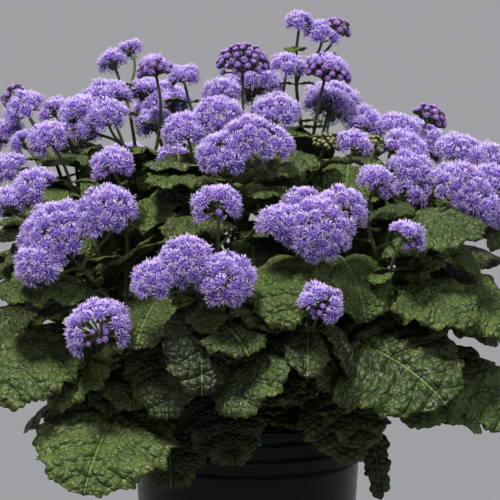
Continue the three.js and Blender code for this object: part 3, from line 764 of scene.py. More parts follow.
def peat():
    # Damp peat compost: dull, dark brown, with fibres and crumbs of 1 to 3 mm.
    material, tree, shader = new_material("peat", Roughness=0.95, IOR=1.4)
    place = node(tree, "TexCoord").outputs["Object"]
    crumb = node(tree, "TexNoise", {"Vector": place, "Scale": 420.0, "Detail": 5.0, "Roughness": 0.7})
    ground = node(
        tree, "ValToRGB", {"Fac": crumb.outputs["Fac"]}, [(0.3, "150e09"), (0.52, "2c2016"), (0.75, "54402c")]
    )
    tree.links.new(ground.outputs[0], shader.inputs["Base Color"])
    bump = node(tree, "Bump", {"Height": crumb.outputs["Fac"], "Strength": 1.0, "Distance": 1.0 * MM})
    tree.links.new(bump.outputs[0], shader.inputs["Normal"])
    return material


FLOSS = floss_threads()
BUD = bud_florets()
YOUNG_BUD = young_florets()
# Upper face: dark green, bullate, with a soft gloss. Underside: paler, matt, with the veins raised.
LEAF_FACE = leaf_material("leaf_upper_face", "1b270f", "596c31", "7d904e", 0.42, 0.38, raised=False)
LEAF_BACK = leaf_material("leaf_underside", "2a3819", "5a6d36", "74864e", 0.65, 0.3, raised=True)
WOOD = hairy_stem()
CUP = flower_cup()
HAIR = stem_hair()
POT_SKIN = moulded_pot()
PEAT = peat()

# ---- Leaves --------------------------------------------------------------------------------------------
TOOTH_PITCH = 5.4
TOOTH_DEPTH = 2.6
LOBE_DEPTH = 1.6  # of the wider waves of the margin, one for each side vein
STRIP = 13.0  # from one side vein to the next, along the midrib
CELL = 7.0  # from one cross vein to the next, along a side vein


def blade_grid(rows, columns, cuts):
    """A flat grid over the blade's two coordinates, with its two margins cut finer for the teeth."""
    bm = bmesh.new()
    bmesh.ops.create_grid(bm, x_segments=rows, y_segments=columns, size=1)
    for side in (-1, 1):
        margin = [e for e in bm.edges if all(abs(v.co.y - side) < 1e-6 for v in e.verts)]
        bmesh.ops.subdivide_edges(bm, edges=margin, cuts=cuts)
    bmesh.ops.reverse_faces(bm, faces=bm.faces)
    return to_mesh(bm, "blade")


def puff(strip, cell):
    """Height of the quilting: 0 on the veins and 1 between them."""
    across = np.abs(np.sin(math.pi * strip)) ** 0.7
    along = np.abs(np.sin(math.pi * cell)) ** 0.6
    return across * (0.4 + 0.6 * along)


def blade_mesh(leaf, grid, seed, quilt):
    """A quilted blade with round teeth, waved margins and its veins' coordinates as marks."""
    rng = np.random.default_rng(seed)
    mesh = grid.copy()
    flat = places_of(mesh)
    s, v = (flat[:, 0] + 1) / 2, flat[:, 1]
    s = s - 0.55 * np.sin(2 * math.pi * s) / (2 * math.pi)  # rows lie closer at the foot and the tip
    foot, tip = 0.03 * v**2, 1 - 0.015 * v**2
    u = foot + (tip - foot) * s
    x = u * leaf.length - back_lobe(leaf, u, v)
    y = 0.5 * leaf.width * outline(u) * v

    strips = max(3, round(leaf.length / STRIP))
    shift = np.zeros((2, len(u)))
    for side in (-1, 1):
        margin = np.flatnonzero(np.abs(v - side) < 1e-5)
        margin = margin[np.argsort(s[margin])]
        step = np.gradient(np.stack([x[margin], y[margin]]), axis=1)
        length = np.cumsum(np.hypot(*step))
        teeth = max(5, round(length[-1] / TOOTH_PITCH))
        phase = teeth * length / length[-1] + 0.16 * np.sin(0.23 * length + rng.uniform(0, 6))
        tooth = TOOTH_DEPTH * (np.abs(np.sin(math.pi * phase)) ** 0.6 - 0.6)
        lobe = LOBE_DEPTH * np.sin(2 * math.pi * strips * s[margin] + rng.uniform(0, 6))
        grown = min(1, leaf.length / 60) * np.clip(4 * s[margin], 0.3, 1)
        outward = unit(np.stack([-step[1], step[0]], axis=1) + 1e-9) * side
        shift[:, margin] = (outward * ((tooth + lobe) * grown)[:, None]).T

    reach = np.abs(y) / (0.5 * leaf.width)
    sway = np.array([noise.noise(Vector((a / 15, b / 15, seed % 91))) for a, b in zip(x, y)])
    strip = strips * (x - 0.5 * np.abs(y) * (1 - 0.25 * reach)) / leaf.length + 0.5 * sway * reach**0.5
    cell = np.abs(y) / CELL + 0.5 * np.floor(strip) + 1.1 * sway
    inner = np.clip((1 - np.abs(v)) / 0.12, 0.4, 1) * np.clip(np.abs(y) / 3, 0, 1)
    ends = np.clip(s / 0.08, 0, 1) * np.clip((1 - s) / 0.1, 0, 1)
    lift = quilt * puff(strip, cell) * inner * ends
    lift -= 1.2 * np.exp(-((y / 2.2) ** 2)) * np.clip(s / 0.05, 0, 1)
    for side in (-1, 1):
        turns, start = rng.uniform(2.2, 3.6), rng.uniform(0, 6)
        ripple = RIPPLE * leaf.width * np.sin(2 * math.pi * turns * s + start)
        lift += np.where(v * side > 0, ripple * np.abs(v) ** 2.2 * np.sin(math.pi * s), 0)

    mesh.vertices.foreach_set("co", (on_blade(leaf, u, v, lift, shift) * MM).astype(np.float32).ravel())
    finer = (70 / leaf.length) ** 0.4 * rng.uniform(0.85, 1.35)
    mark(mesh, "blade", np.stack([finer * x + 37.0 * (seed % 50), finer * y, np.zeros_like(x)], axis=1))
    mark(mesh, "veins", np.stack([strip, cell, np.abs(y)], axis=1))
    young = np.clip((leaf.foot[2] - 200) / 170, 0, 1)
    fresh = np.clip((34 - leaf.length) / 16, 0, 1)
    # Leaves low in the middle of the plant get a lower tone, so a darker green: painted shade, where the heads and
    # leaves above shade them.
    inner = np.clip(1 - abs(leaf.foot[0]) / 80, 0, 1) * np.clip((290 - leaf.foot[2]) / 40, 0, 1)
    tone = 0.12 + 0.1 * young + 0.5 * fresh - 0.32 * inner + rng.uniform(-0.16, 0.2)
    mark(mesh, "tone", tone + 0.26 * np.abs(v) ** 3 * np.clip(1.4 * u, 0, 1))
    return mesh


RIPPLE = 0.06
# For leaves longer than this: their grid and the height of their quilting.
GRIDS = {
    86: (blade_grid(48, 36, 1), 3.2),
    60: (blade_grid(24, 17, 2), 2.8),
    44: (blade_grid(16, 12, 2), 2.2),
    34: (blade_grid(12, 8, 2), 1.6),
    18: (blade_grid(7, 5, 1), 1.0),
    0: (blade_grid(5, 4, 1), 0.4),
}


def grid_for(leaf):
    return next(found for longer, found in GRIDS.items() if leaf.length >= longer)


def petiole_path(leaf, stations):
    """From the wood to the blade's foot, and on beneath the blade as its raised midrib."""
    foot, along = (a[0] for a in midrib(leaf, 0))
    bow = np.linalg.norm(leaf.root - foot) * PETIOLE["bow"]
    stalk = bezier([leaf.root, foot - along * bow, foot], np.linspace(0, 1, stations))
    under = np.linspace(0.06, 0.84, stations)
    rib = on_blade(leaf, under, np.zeros(stations), np.full(stations, -1.25))
    radii = np.concatenate([np.linspace(1.25, 1.05, stations), np.linspace(0.95, 0.3, stations)])
    return np.concatenate([stalk, rib]), radii * (0.55 + 0.45 * min(1, leaf.length / 70))


# ---- Flower heads --------------------------------------------------------------------------------------
CAPITULUM = 9.2  # from one tuft to the next
TUFT = 5.4  # from the tuft's cup to the tips of its threads, along its axis
SPREAD = 6.3  # and across it
THREADS = 100
BUTTONS = {"young": 3.5, "bud": 4.9, "half": 5.0, "crescent": 5.8}  # from one bud to the next
BUD_SIZES = {"young": (0.5, 0.62), "bud": (0.66, 0.96), "half": (0.66, 0.92), "crescent": (0.55, 0.8)}
FLORETS = 30  # in a bud


def spiral(count, rim, start):
    """Directions spread evenly from +Z down to the rim, in degrees from it."""
    i = np.arange(count)
    away = np.radians(rim) * np.sqrt((i + 0.4) / count)
    round_by = i * GOLDEN_ANGLE + start
    return np.stack([np.sin(away) * np.cos(round_by), np.sin(away) * np.sin(round_by), np.cos(away)], axis=1)


def gap_way(x, y):
    """The way that the gap of a crescent faces: out and slightly up."""
    return unit(unit([-0.2 * x, y, 0.0]) + [0, 0, -0.4])


def on_dome(dome, ways, depth):
    """Places that far under a dome's surface, and the ways they face, for directions from its middle."""
    x, y, _, width, _ = dome
    turn = turned(head_axis(x, y)[None], np.zeros(1))[0]
    radius, rise = 0.5 * width, np.where(ways[:, 2] > 0, HEAD["rise"], 0.5) * width
    far = 1 / np.sqrt((ways[:, :2] ** 2).sum(1) / radius**2 + ways[:, 2] ** 2 / rise**2)
    faces = unit(np.stack([ways[:, 0] / radius**2, ways[:, 1] / radius**2, ways[:, 2] / rise**2], axis=1))
    floor = np.where(ways[:, 2] < 0, -HEAD["underside"] * width * 1.6, -np.inf)
    places = ways * far[:, None] - faces * np.minimum(depth, 0.78 * far)[:, None]
    places[:, 2] = np.maximum(places[:, 2], floor)
    return places @ turn.T + head_middle(dome), unit(faces @ turn.T + 0.25 * head_axis(x, y))


def dome_sites(dome, spacing, rim, depth, seed):
    """Places and ways of the tufts or buds that cover a dome."""
    count = max(3, round((dome[3] / spacing) ** 2 * 1.1))
    ways = spiral(count, rim, seed)
    return on_dome(dome, ways, np.full(count, depth))


def outside_others(places, dome, domes):
    """Which places aren't deep in a neighbouring dome of the same head."""
    keep = np.ones(len(places), bool)
    for other in domes:
        if other is not dome:
            keep &= np.linalg.norm(places - head_middle(other), axis=1) > 0.36 * other[3]
    return keep


@dataclass
class Tufts:
    """Cups of one kind: where their florets stand, the way they face, their size and their stalk's hub."""

    at: np.ndarray
    way: np.ndarray
    size: np.ndarray
    hub: np.ndarray
    axis: np.ndarray


def gathered(rows):
    return Tufts(*(np.array(column) for column in zip(*rows))) if rows else None


def head_tufts(domes, seed):
    """The open tufts and the closed buds of a head."""
    rng = np.random.default_rng(seed)
    tufts, buds = [], []
    for d, dome in enumerate(domes):
        x, y, _, width, kind = dome
        axis, hub = head_axis(x, y), head_hub(dome)
        if kind in ("open", "crescent"):
            at, way = dome_sites(dome, CAPITULUM, HEAD["rim"], TUFT * min(1, width / 30), seed + d)
            keep = outside_others(at, dome, domes)
            if kind == "crescent":
                keep &= unit(at - head_middle(dome)) @ gap_way(x, y) < HEAD["gap"]
            for p, w in zip(at[keep], way[keep]):
                tilt = unit(w + rng.normal(0, 0.26, 3))
                tufts.append((p + w * rng.uniform(-0.9, 0.6), tilt, min(1.0, 0.74 + width / 140) * rng.uniform(0.9, 1.12), hub, axis))
        if kind != "open":
            depth = 0.42 * 0.5 * width if kind == "crescent" else 1.5
            at, way = dome_sites(dome, BUTTONS[kind], HEAD["rim"] - 4, depth, seed + d + 9)
            keep = outside_others(at, dome, domes)
            if kind == "crescent":
                keep &= (unit(at - head_middle(dome)) @ gap_way(x, y) > HEAD["gap"]) & (rng.uniform(size=len(at)) < 0.5)
            for p, w in zip(at[keep], way[keep]):
                size, up = rng.uniform(*BUD_SIZES[kind]), unit(p - head_middle(dome)) @ axis
                if kind == "half" and rng.uniform() < 1.3 * up - 0.35:
                    tufts.append((p - 1.6 * w, unit(w + rng.normal(0, 0.2, 3)), size, hub, axis))
                else:
                    buds.append((p + rng.normal(0, 0.5, 3), unit(w + rng.normal(0, 0.2, 3)), size, hub, axis))
    return gathered(tufts), gathered(buds)


def thread():
    """A thread along Z from its root at 0, which is a point, to its blunt tip at 1."""
    bm = bmesh.new()
    bmesh.ops.create_cone(bm, cap_ends=True, segments=3, radius1=0, radius2=1, depth=1)
    bmesh.ops.remove_doubles(bm, verts=bm.verts, dist=1e-5)
    bmesh.ops.translate(bm, verts=bm.verts, vec=(0, 0, 0.5))
    bmesh.ops.recalc_face_normals(bm, faces=bm.faces)
    return to_mesh(bm, "thread")


THREAD = thread()


def brush(cups, count, rim, stray, make_ends, rng):
    """Threads on cups: make_ends gives their roots and tips beside a cup that faces +Z, and tips stray by that
    much."""
    n = len(cups.at)
    i = np.arange(count)
    away = np.arccos(1 - (1 - math.cos(math.radians(rim))) * (i + 0.5) / count)[None]
    away = np.abs(away + rng.normal(0, 0.05, (n, count)))
    spin = (i * GOLDEN_ANGLE)[None] + rng.uniform(0, 6.28, (n, 1)) + rng.normal(0, 0.12, (n, count))

    def at(across, up):
        return np.stack([across * np.cos(spin), across * np.sin(spin), up], axis=-1)

    root, tip = make_ends(away, at)
    tip = tip + rng.normal(0, stray, tip.shape)
    frames = turned(cups.way, rng.uniform(0, 6.28, n))
    paths = np.stack([root, tip], axis=2) * cups.size[:, None, None, None]
    paths = paths @ frames[:, None].transpose(0, 1, 3, 2) + cups.at[:, None, None]
    return paths.reshape(n * count, 2, 3), away.ravel()


def tuft_threads(tufts, rng):
    """The threads of open tufts: each rises from the cup, arches out and ends in a pale tip."""

    def ends(away, at):
        inner = np.clip((np.degrees(away) - 12) / 22, 0, 1)  # the middle florets aren't fully out
        root = at(2.5 * np.sin(0.9 * away), 1.3 * np.cos(away))
        up = (TUFT * (0.62 + 0.38 * inner)) * np.cos(0.94 * away)
        return root, at(SPREAD * np.sin(away) ** 1.1, up)

    paths, away = brush(tufts, THREADS, 98, 0.55, ends, rng)
    radii = np.array([0.01, 0.235]) * rng.uniform(0.8, 1.25, (len(paths), 1))
    open_by = 0.6 + 0.4 * np.clip((np.degrees(away) - 10) / 26, 0, 1)
    reach = places_of(THREAD)[:, 2]
    tone = np.repeat(rng.uniform(0, 0.7, len(tufts.at)), THREADS) + rng.uniform(0, 0.3, len(paths))
    return repeated(THREAD, swept(THREAD, paths, radii), reach=reach * open_by[:, None], shade=tone[:, None])


def bud_florets_mesh(buds, rng):
    """The florets of buds that start to open: short, blunt and packed side by side."""

    def ends(away, at):
        root = at(1.9 * np.sin(away), 0.4 * np.cos(away))
        return root, at(2.9 * np.sin(away), 2.9 * np.cos(0.8 * away))

    paths, away = brush(buds, FLORETS, 86, 0.16, ends, rng)
    radii = np.array([0.05, 0.5]) * rng.uniform(0.85, 1.15, (len(paths), 1))
    # Florets further from the bud's middle get less reach and so a darker colour: painted shade round each bud's rim.
    reach = places_of(THREAD)[:, 2][None] * np.clip(1.05 - 0.46 * away**2, 0.2, 1)[:, None]
    tone = np.repeat(rng.uniform(0, 1, len(buds.at)), FLORETS)[:, None]
    return repeated(THREAD, swept(THREAD, paths, radii), reach=reach, shade=tone)


def floret_bed():
    """The dome of packed florets that threads rise from."""
    bm = bmesh.new()
    bmesh.ops.create_icosphere(bm, subdivisions=1, radius=1)
    for i, v in enumerate(bm.verts):
        v.co *= 1 + 0.16 * (draw(i, 3) - 0.5)
    bmesh.ops.scale(bm, verts=bm.verts, vec=(4.0, 4.0, 2.5))
    return to_mesh(bm, "floret_bed")


def bract_cup():
    """The cup of pointed bracts under a tuft or bud, from its stalk at -3.4 to its rim at 0.4."""
    bm = bmesh.new()
    bmesh.ops.create_cone(bm, cap_ends=False, segments=10, radius1=0.8, radius2=3.0, depth=3.2)
    bmesh.ops.translate(bm, verts=bm.verts, vec=(0, 0, -1.8))
    rim = sorted((v for v in bm.verts if v.co.z > -0.5), key=lambda v: math.atan2(v.co.y, v.co.x))
    for v in rim[::2]:
        v.co = Vector((v.co.x * 1.12, v.co.y * 1.12, v.co.z + 1.1))
    return to_mesh(bm, "bract_cup")


BED, CUP_SHAPE = floret_bed(), bract_cup()


def placed(template, at, frames, size):
    """Places of a template's vertices, turned and scaled about each point."""
    co = places_of(template)
    return np.einsum("nij,vj->nvi", frames, co) * np.reshape(size, (-1, 1, 1)) + at[:, None]


def tuft_beds(tufts, rng, size):
    frames = turned(tufts.way, rng.uniform(0, 6.28, len(tufts.at)))
    places = placed(BED, tufts.at, frames, tufts.size * size)
    return repeated(BED, places, reach=0.1, shade=0.4)


def young_buds(buds, rng):
    """Closed green buds, each a bead that pales towards its tip."""
    frames = turned(buds.way, rng.uniform(0, 6.28, len(buds.at)))
    reach = np.clip(0.5 + 0.2 * places_of(BED)[:, 2], 0, 1)[None] * np.ones((len(buds.at), 1))
    shade = rng.uniform(0, 1, (len(buds.at), 1))
    return repeated(BED, placed(BED, buds.at, frames, 0.75 * buds.size), reach=reach, shade=shade)


def lay_out(mesh):
    """A map on which reach runs one way and shade the other, so that it holds every colour."""
    reach, shade = (np.empty(len(mesh.vertices), np.float32) for _ in range(2))
    mesh.attributes["reach"].data.foreach_get("value", reach)
    mesh.attributes["shade"].data.foreach_get("value", shade)
    corner = np.empty(len(mesh.loops), np.int32)
    mesh.loops.foreach_get("vertex_index", corner)
    nudge = 0.012 * (np.arange(len(corner)) % 3)
    uv = np.stack([0.02 + 0.94 * reach[corner] + nudge / 2, 0.02 + 0.94 * shade[corner] + nudge], axis=1)
    layer = mesh.uv_layers.new(name="OFBake")
    layer.uv.foreach_set("vector", uv.astype(np.float32).ravel())


# ---- Wood, hairs and cups ------------------------------------------------------------------------------
LIMB_STATIONS = 14
LIMB = rod(8, LIMB_STATIONS)
STALK = rod(5, 14)
TWIG = rod(3, 8)  # the petiole of a leaf no longer than this
TWIG_UNDER = 40
PEDICEL = rod(3, 4)
HAIR_SHAPE = rod(3, 2, pointed=True)


def limb_paths(stem):
    """Each limb of a stem as its path, its radius at each station and its hairs for each millimetre."""
    t = np.linspace(0, 1, LIMB_STATIONS)

    def tapered(start, end):
        return start + (end - start) * t

    yield bezier(stem.trunk, t), tapered(TRUNK["radius"], 1.9), 0.8
    for head, curve in stem.branches.items():
        yield bezier(curve, t), tapered(BRANCH["radius"], 0.95), 0.5
        for dome in stem.heads[head][1:]:
            near, along = bezier(curve, [0.72])[0], unit(curve[3] - curve[2])
            end = head_hub(dome)
            bow = 0.4 * np.linalg.norm(end - near)
            axis = head_axis(*dome[:2])
            yield bezier([near, near + along * bow, end - axis * bow, end], t), tapered(1.1, 0.9), 0.5


def hair_places(paths, rng):
    """Roots and tips of the hairs on some paths, each (places, radii, hairs for each millimetre)."""
    roots, tips = [], []
    for path, radii, density in paths:
        length = np.linalg.norm(np.diff(path, axis=0), axis=1).sum()
        count = max(2, int(density * length))
        t = rng.uniform(0.02, 0.98, count) * (len(path) - 1)
        i, part = t.astype(int), (t % 1)[:, None]
        at = path[i] * (1 - part) + path[i + 1] * part
        along = unit(path[i + 1] - path[i] + 1e-9)
        way = unit(np.cross(along, rng.normal(0, 1, (count, 3))))
        radius = np.interp(t, np.arange(len(radii)), radii)[:, None]
        roots.append(at + way * radius * 0.8)
        tips.append(at + way * (radius + rng.uniform(0.7, 1.6, (count, 1))) + along * rng.uniform(-0.2, 0.7, (count, 1)))
    return np.concatenate(roots), np.concatenate(tips)


def pedicels(cups):
    """The thin stalks from a dome's hub to its cups."""
    foot = cups.at - cups.way * (3.3 * cups.size)[:, None]
    far = np.linalg.norm(foot - cups.hub, axis=1)[:, None]
    t = np.linspace(0, 1, 4)
    lines = [bezier([h, h + a * 0.3 * d, f - w * 0.35 * d, f], t)
             for h, a, d, f, w in zip(cups.hub, cups.axis, far, foot, cups.way)]
    return np.array(lines)


# ---- The small leaves that fill the plant ---------------------------------------------------------------
domes_in_plant = [dome for stem in stems.values() for domes in stem.heads.values() for dome in domes]
DOME_MIDDLES = np.array([head_middle(d) for d in domes_in_plant])
DOME_ROOM = np.array([0.52 * d[3] for d in domes_in_plant])
# Passes of small leaves: length, petiole, how many at most, how far they keep from other leaves, and how many
# cells of the views they must close.
FILLERS = [
    (66, 50, 24, 3.2, 60),
    (56, 30, 40, 3.0, 26),
    (46, 24, 50, 2.8, 10),
    (38, 18, 60, 2.7, 0),
    (28, 10, 70, 2.5, 0),
    (19, 7, 50, 2.2, 0),
]
# Small leaves asked for where the stems would show bare, as in FRONT_LEAVES.
WISHED_LEAVES = [
    (-98, -50, 214, -160, -10, -50, 60, 50, 0),
    (-104, -44, 246, -158, 5, -40, 58, 48, 0),
    (-126, -40, 266, -172, 14, -34, 50, 42, 0),
    (-126, -30, 288, 176, 24, -20, 44, 38, 0),
    (-84, 4, 336, -100, 44, -10, 44, 38, 0),
    (-98, 0, 334, -150, 34, -10, 40, 34, 0),
    (68, -34, 324, 10, 26, -24, 42, 36, 0),
    (46, -16, 342, -60, 44, -6, 42, 36, 0),
    (-126, -36, 328, 180, 30, -20, 44, 38, 0),
    (-104, -6, 336, -130, 36, -14, 38, 34, 0),
    (-72, 8, 340, -110, 40, -6, 40, 34, 0),
    (-84, -60, 212, -150, -24, -64, 56, 48, 0),
    (56, -6, 336, -60, 50, 0, 38, 34, 0),
    (-98, -36, 312, 172, 34, -10, 46, 40, 0),
    (112, -50, 276, -8, 6, -30, 60, 50, 0),
    (4, -66, 292, -90, -6, -50, 44, 38, 0),
    (8, -20, 290, -70, 20, -30, 50, 44, 0),
    (10, 30, 290, 90, 10, -30, 50, 44, 0),
    (-128, -10, 318, 178, 44, 0, 44, 38, 0),
    (-88, 20, 330, 170, 44, 0, 42, 36, 0),
    (-112, -56, 296, 160, 34, -14, 46, 40, 0),
    (-150, -40, 318, 170, 30, -20, 34, 28, 0),
    (-130, -50, 300, -140, 24, -20, 40, 34, 0),
    (84, -62, 300, -20, 0, -40, 42, 36, 0),
    (122, -60, 274, -18, 0, -40, 52, 44, 0),
]
WISHED_APART = 1.6
FILL_REACH = 178  # no small leaf goes further out
FILL_TOP = 368  # or higher than this at the middle
FILL_PITCHES = (-44, -22, 2)
TURNS = (-120, -75, -40, -12, 12, 40, 75, 120)
FILL_BEND = 44  # from the foot's pitch down to the tip's
# The plant is looked through along these ways, azimuth and weight, in cells 5 mm wide.
SIGHTS = [(0, 3), (45, 1), (90, 1), (135, 1), (180, 1), (225, 1), (270, 1), (315, 1)]
SIGHT_CELL = 5.0
SIGHT_SHAPE = (80, 44)
SIGHT_FOOT = 165
SIGHT_TILT = 0.1


def sampled(leaf, rows=10, columns=7):
    u, v = np.meshgrid(np.linspace(0.04, 0.98, rows), np.linspace(-0.95, 0.95, columns))
    return on_blade(leaf, u.ravel(), v.ravel(), np.zeros(u.size))


def seen_cells(points):
    """For each way of looking, the cells that some places cover."""
    found = []
    for azimuth, _ in SIGHTS:
        a = math.radians(azimuth)
        aside = points[:, 0] * math.cos(a) + points[:, 1] * math.sin(a)
        back = points[:, 1] * math.cos(a) - points[:, 0] * math.sin(a)
        column = (aside / SIGHT_CELL + SIGHT_SHAPE[0] / 2).astype(int)
        row = ((points[:, 2] + SIGHT_TILT * back - SIGHT_FOOT) / SIGHT_CELL).astype(int)
        inside = (column >= 0) & (column < SIGHT_SHAPE[0]) & (row >= 0) & (row < SIGHT_SHAPE[1])
        found.append(np.unique(column[inside] * SIGHT_SHAPE[1] + row[inside]))
    return found


def has_room(leaf, taken, apart):
    """Whether a small leaf keeps clear of the pot, the heads and the leaves that are there."""
    points = sampled(leaf)
    reach = np.hypot(points[:, 0], points[:, 1])
    low, high = points[:, 2] < np.where(reach > 70, 168, 156), points[:, 2] > FILL_TOP - 0.12 * reach
    if low.any() or high.any() or (reach > FILL_REACH).any():
        return False
    middle = points.mean(0)
    near = np.linalg.norm(DOME_MIDDLES - middle, axis=1) < DOME_ROOM + leaf.length
    far = np.linalg.norm(points[:, None] - DOME_MIDDLES[near][None], axis=2)
    if (far < DOME_ROOM[near][None] + 1).any():
        return False
    close = taken[np.linalg.norm(taken - middle, axis=1) < leaf.length]
    return not len(close) or np.linalg.norm(points[:, None] - close[None], axis=2).min() > apart


def fill_leaves():
    """Small leaves on the trunks and branches, the larger ones first, where the plant could be seen through."""
    taken = np.concatenate([sampled(leaf) for leaf in main_leaves])
    order = np.random.default_rng(5)
    open_to = np.ones((len(SIGHTS), SIGHT_SHAPE[0] * SIGHT_SHAPE[1]), bool)

    def close(points):
        for sight, cells in enumerate(seen_cells(points)):
            open_to[sight, cells] = False

    def closes(leaf):
        cells = seen_cells(sampled(leaf, 14, 12))
        return sum(open_to[k, c].sum() * weight for k, (c, (_, weight)) in enumerate(zip(cells, SIGHTS)))

    for leaf in main_leaves:
        close(sampled(leaf, 26, 22))
    ball = np.random.default_rng(6).normal(0, 1, (500, 3))
    for middle, room in zip(DOME_MIDDLES, DOME_ROOM):
        close(middle + 0.85 * room * unit(ball))
    leaves = []
    for row in WISHED_LEAVES:
        wish = rooted(Leaf(np.array(row[:3], float), *row[3:]), places_on_wood, wood_owners)
        leaf = next((bent for bent in bends_of(wish) if has_room(bent, taken, WISHED_APART)), None)
        print("wished leaf", row[:3], "found" if leaf else "left out")
        if leaf:
            leaves.append(leaf)
            taken = np.concatenate([taken, sampled(leaf)])
            close(sampled(leaf, 14, 12))
    for length, stalk, most, apart, wanted in FILLERS:
        found = 0
        for i in order.permutation(len(places_on_wood)):
            root, name = places_on_wood[i], wood_owners[i]
            out = math.degrees(math.atan2(root[1], root[0]))
            for turn in order.permutation(TURNS)[:4]:
                way = out + turn + order.uniform(-10, 10)
                pitch = FILL_PITCHES[order.integers(len(FILL_PITCHES))]
                size = length * order.uniform(0.88, 1.12)
                foot = root + stalk * (0.85 * level(way) + [0, 0, 0.5])
                width = size * order.uniform(0.78, 0.96)
                leaf = Leaf(foot, way, pitch, pitch - FILL_BEND, size, width, order.uniform(-16, 16), root, name)
                if has_room(leaf, taken, apart) and closes(leaf) >= wanted:
                    leaves.append(leaf)
                    taken = np.concatenate([taken, sampled(leaf)])
                    close(sampled(leaf, 14, 12))
                    found += 1
                    break
            if found >= most:
                break
        print(f"small leaves of {length} mm: {found}")
    return leaves


def stem_bracts():
    """A pair of tiny leaves at two places of each branch."""
    leaves = []
    order = np.random.default_rng(8)
    for name, stem in stems.items():
        for curve in stem.branches.values():
            for t in BRACTS_AT:
                root = bezier(curve, t)[0]
                if (np.linalg.norm(DOME_MIDDLES - root, axis=1) < DOME_ROOM + 3).any():
                    continue
                start = order.uniform(0, 180)
                for way in (start, start + 180):
                    size = order.uniform(9, 17)
                    foot = root + 3 * level(way) + [0, 0, 1.5]
                    leaves.append(Leaf(foot, way, 24, -30, size, 0.76 * size, order.uniform(-10, 10), root, name))
    return leaves


BRACTS_AT = (0.5, 0.72, 0.9)
small_leaves = fill_leaves() + stem_bracts()

# ---- Stems with their leaves -----------------------------------------------------------------------------


def build_stem(name, stem, number):
    rng = np.random.default_rng(1000 + number)
    leaves = [leaf for leaf in main_leaves + small_leaves if leaf.stem == name]
    blades = [(blade_mesh(leaf, *grid_args(leaf, 100 * number + i)), 0) for i, leaf in enumerate(leaves)]
    foliage = joined("leaves_" + name, blades)
    foliage.shade_smooth()
    ob = piece("leaves_" + name, foliage, [LEAF_FACE, LEAF_BACK], "leaf", "stem_" + name)
    skin = ob.modifiers.new("thickness", "SOLIDIFY")
    skin.thickness, skin.offset, skin.material_offset, skin.material_offset_rim = 0.55 * MM, 0, 1, 0

    limbs = list(limb_paths(stem))
    stalks = [petiole_path(leaf, 7) for leaf in leaves if leaf.length > TWIG_UNDER]
    twigs = [petiole_path(leaf, 4) for leaf in leaves if leaf.length <= TWIG_UNDER]
    tufted = [t for head, domes in stem.heads.items() for t in TUFTS[head] if t]
    cups = Tufts(*(np.concatenate([getattr(t, f) for t in tufted]) for f in ("at", "way", "size", "hub", "axis")))
    lines = pedicels(cups)
    parts = [
        (repeated(LIMB, swept(LIMB, [p for p, _, _ in limbs], [r for _, r, _ in limbs]), reach=0.0), 0),
        (repeated(PEDICEL, swept(PEDICEL, lines, np.linspace(0.62, 0.75, 4)), reach=0.0), 0),
    ]
    for shape, group in ((STALK, stalks), (TWIG, twigs)):
        if group:
            parts.append((repeated(shape, swept(shape, [p for p, _ in group], [r for _, r in group]), reach=0.0), 0))
    for mesh, _ in parts:
        mesh.shade_smooth()
    bracts = placed(CUP_SHAPE, cups.at, turned(cups.way, rng.uniform(0, 6.28, len(cups.at))), cups.size)
    reach = np.clip((places_of(CUP_SHAPE)[:, 2] + 3.4) / 3.6, 0, 1)[None] * np.ones((len(bracts), 1))
    parts.append((repeated(CUP_SHAPE, bracts, reach=reach), 1))
    piece("stalks_" + name, joined("stalks_" + name, parts), [WOOD, CUP], "leaf", "stem_" + name)

    hairy = limbs + [(path[:7], radii[:7], 0.45) for path, radii in stalks]
    hairy += [(line, np.full(4, 0.65), 0.2) for line in lines[::3]]
    roots, tips = hair_places(hairy, rng)
    places = swept(HAIR_SHAPE, np.stack([roots, tips], axis=1), np.array([0.07, 0.0]))
    reach = places_of(HAIR_SHAPE)[:, 2][None] * np.ones((len(places), 1))
    piece("hairs_" + name, repeated(HAIR_SHAPE, places, reach=reach), [HAIR], "leaf", "stem_" + name)


def grid_args(leaf, seed):
    grid, quilt = grid_for(leaf)
    return grid, seed, quilt


TUFTS = {
    head: head_tufts(domes, 40 * n + m)
    for n, stem in enumerate(stems.values())
    for m, (head, domes) in enumerate(stem.heads.items())
}
for number, (name, stem) in enumerate(stems.items()):
    build_stem(name, stem, number)

for number, (head, (tufts, buds)) in enumerate(TUFTS.items()):
    rng = np.random.default_rng(2000 + number)
    shown = "stem_" + SMALL_HEADS[head][0] if head in SMALL_HEADS else "head_" + head
    if tufts:
        floss = joined("floss_" + head, [(tuft_threads(tufts, rng), 0), (tuft_beds(tufts, rng, 1), 0)])
        floss.shade_smooth()
        lay_out(floss)
        piece("floss_" + head, floss, [FLOSS], "floss", shown)
    if buds and shown.startswith("stem_"):
        beads = young_buds(buds, rng)
        beads.shade_smooth()
        lay_out(beads)
        piece("buds_" + head, beads, [YOUNG_BUD], "bud", shown)
    elif buds:
        florets = joined("buds_" + head, [(bud_florets_mesh(buds, rng), 0), (tuft_beds(buds, rng, 0.7), 0)])
        florets.shade_smooth()
        lay_out(florets)
        piece("buds_" + head, florets, [BUD], "bud", shown)
print(f"tufts: {sum(len(t.at) for t, _ in TUFTS.values() if t)}, buds: {sum(len(b.at) for _, b in TUFTS.values() if b)}")

# ---- Pot and soil ----------------------------------------------------------------------------------------


def lathed(profile, steps):
    """A profile of [radius, height] pairs spun round Z."""
    bm = bmesh.new()
    verts = [bm.verts.new((r * MM, 0, z * MM)) for r, z in profile]
    edges = [bm.edges.new(pair) for pair in zip(verts, verts[1:])]
    bmesh.ops.spin(
        bm, geom=verts + edges, cent=(0, 0, 0), axis=(0, 0, 1), angle=2 * math.pi, steps=steps, use_merge=True
    )
    bmesh.ops.remove_doubles(bm, verts=bm.verts, dist=1e-6)
    bmesh.ops.recalc_face_normals(bm, faces=bm.faces)
    return bm


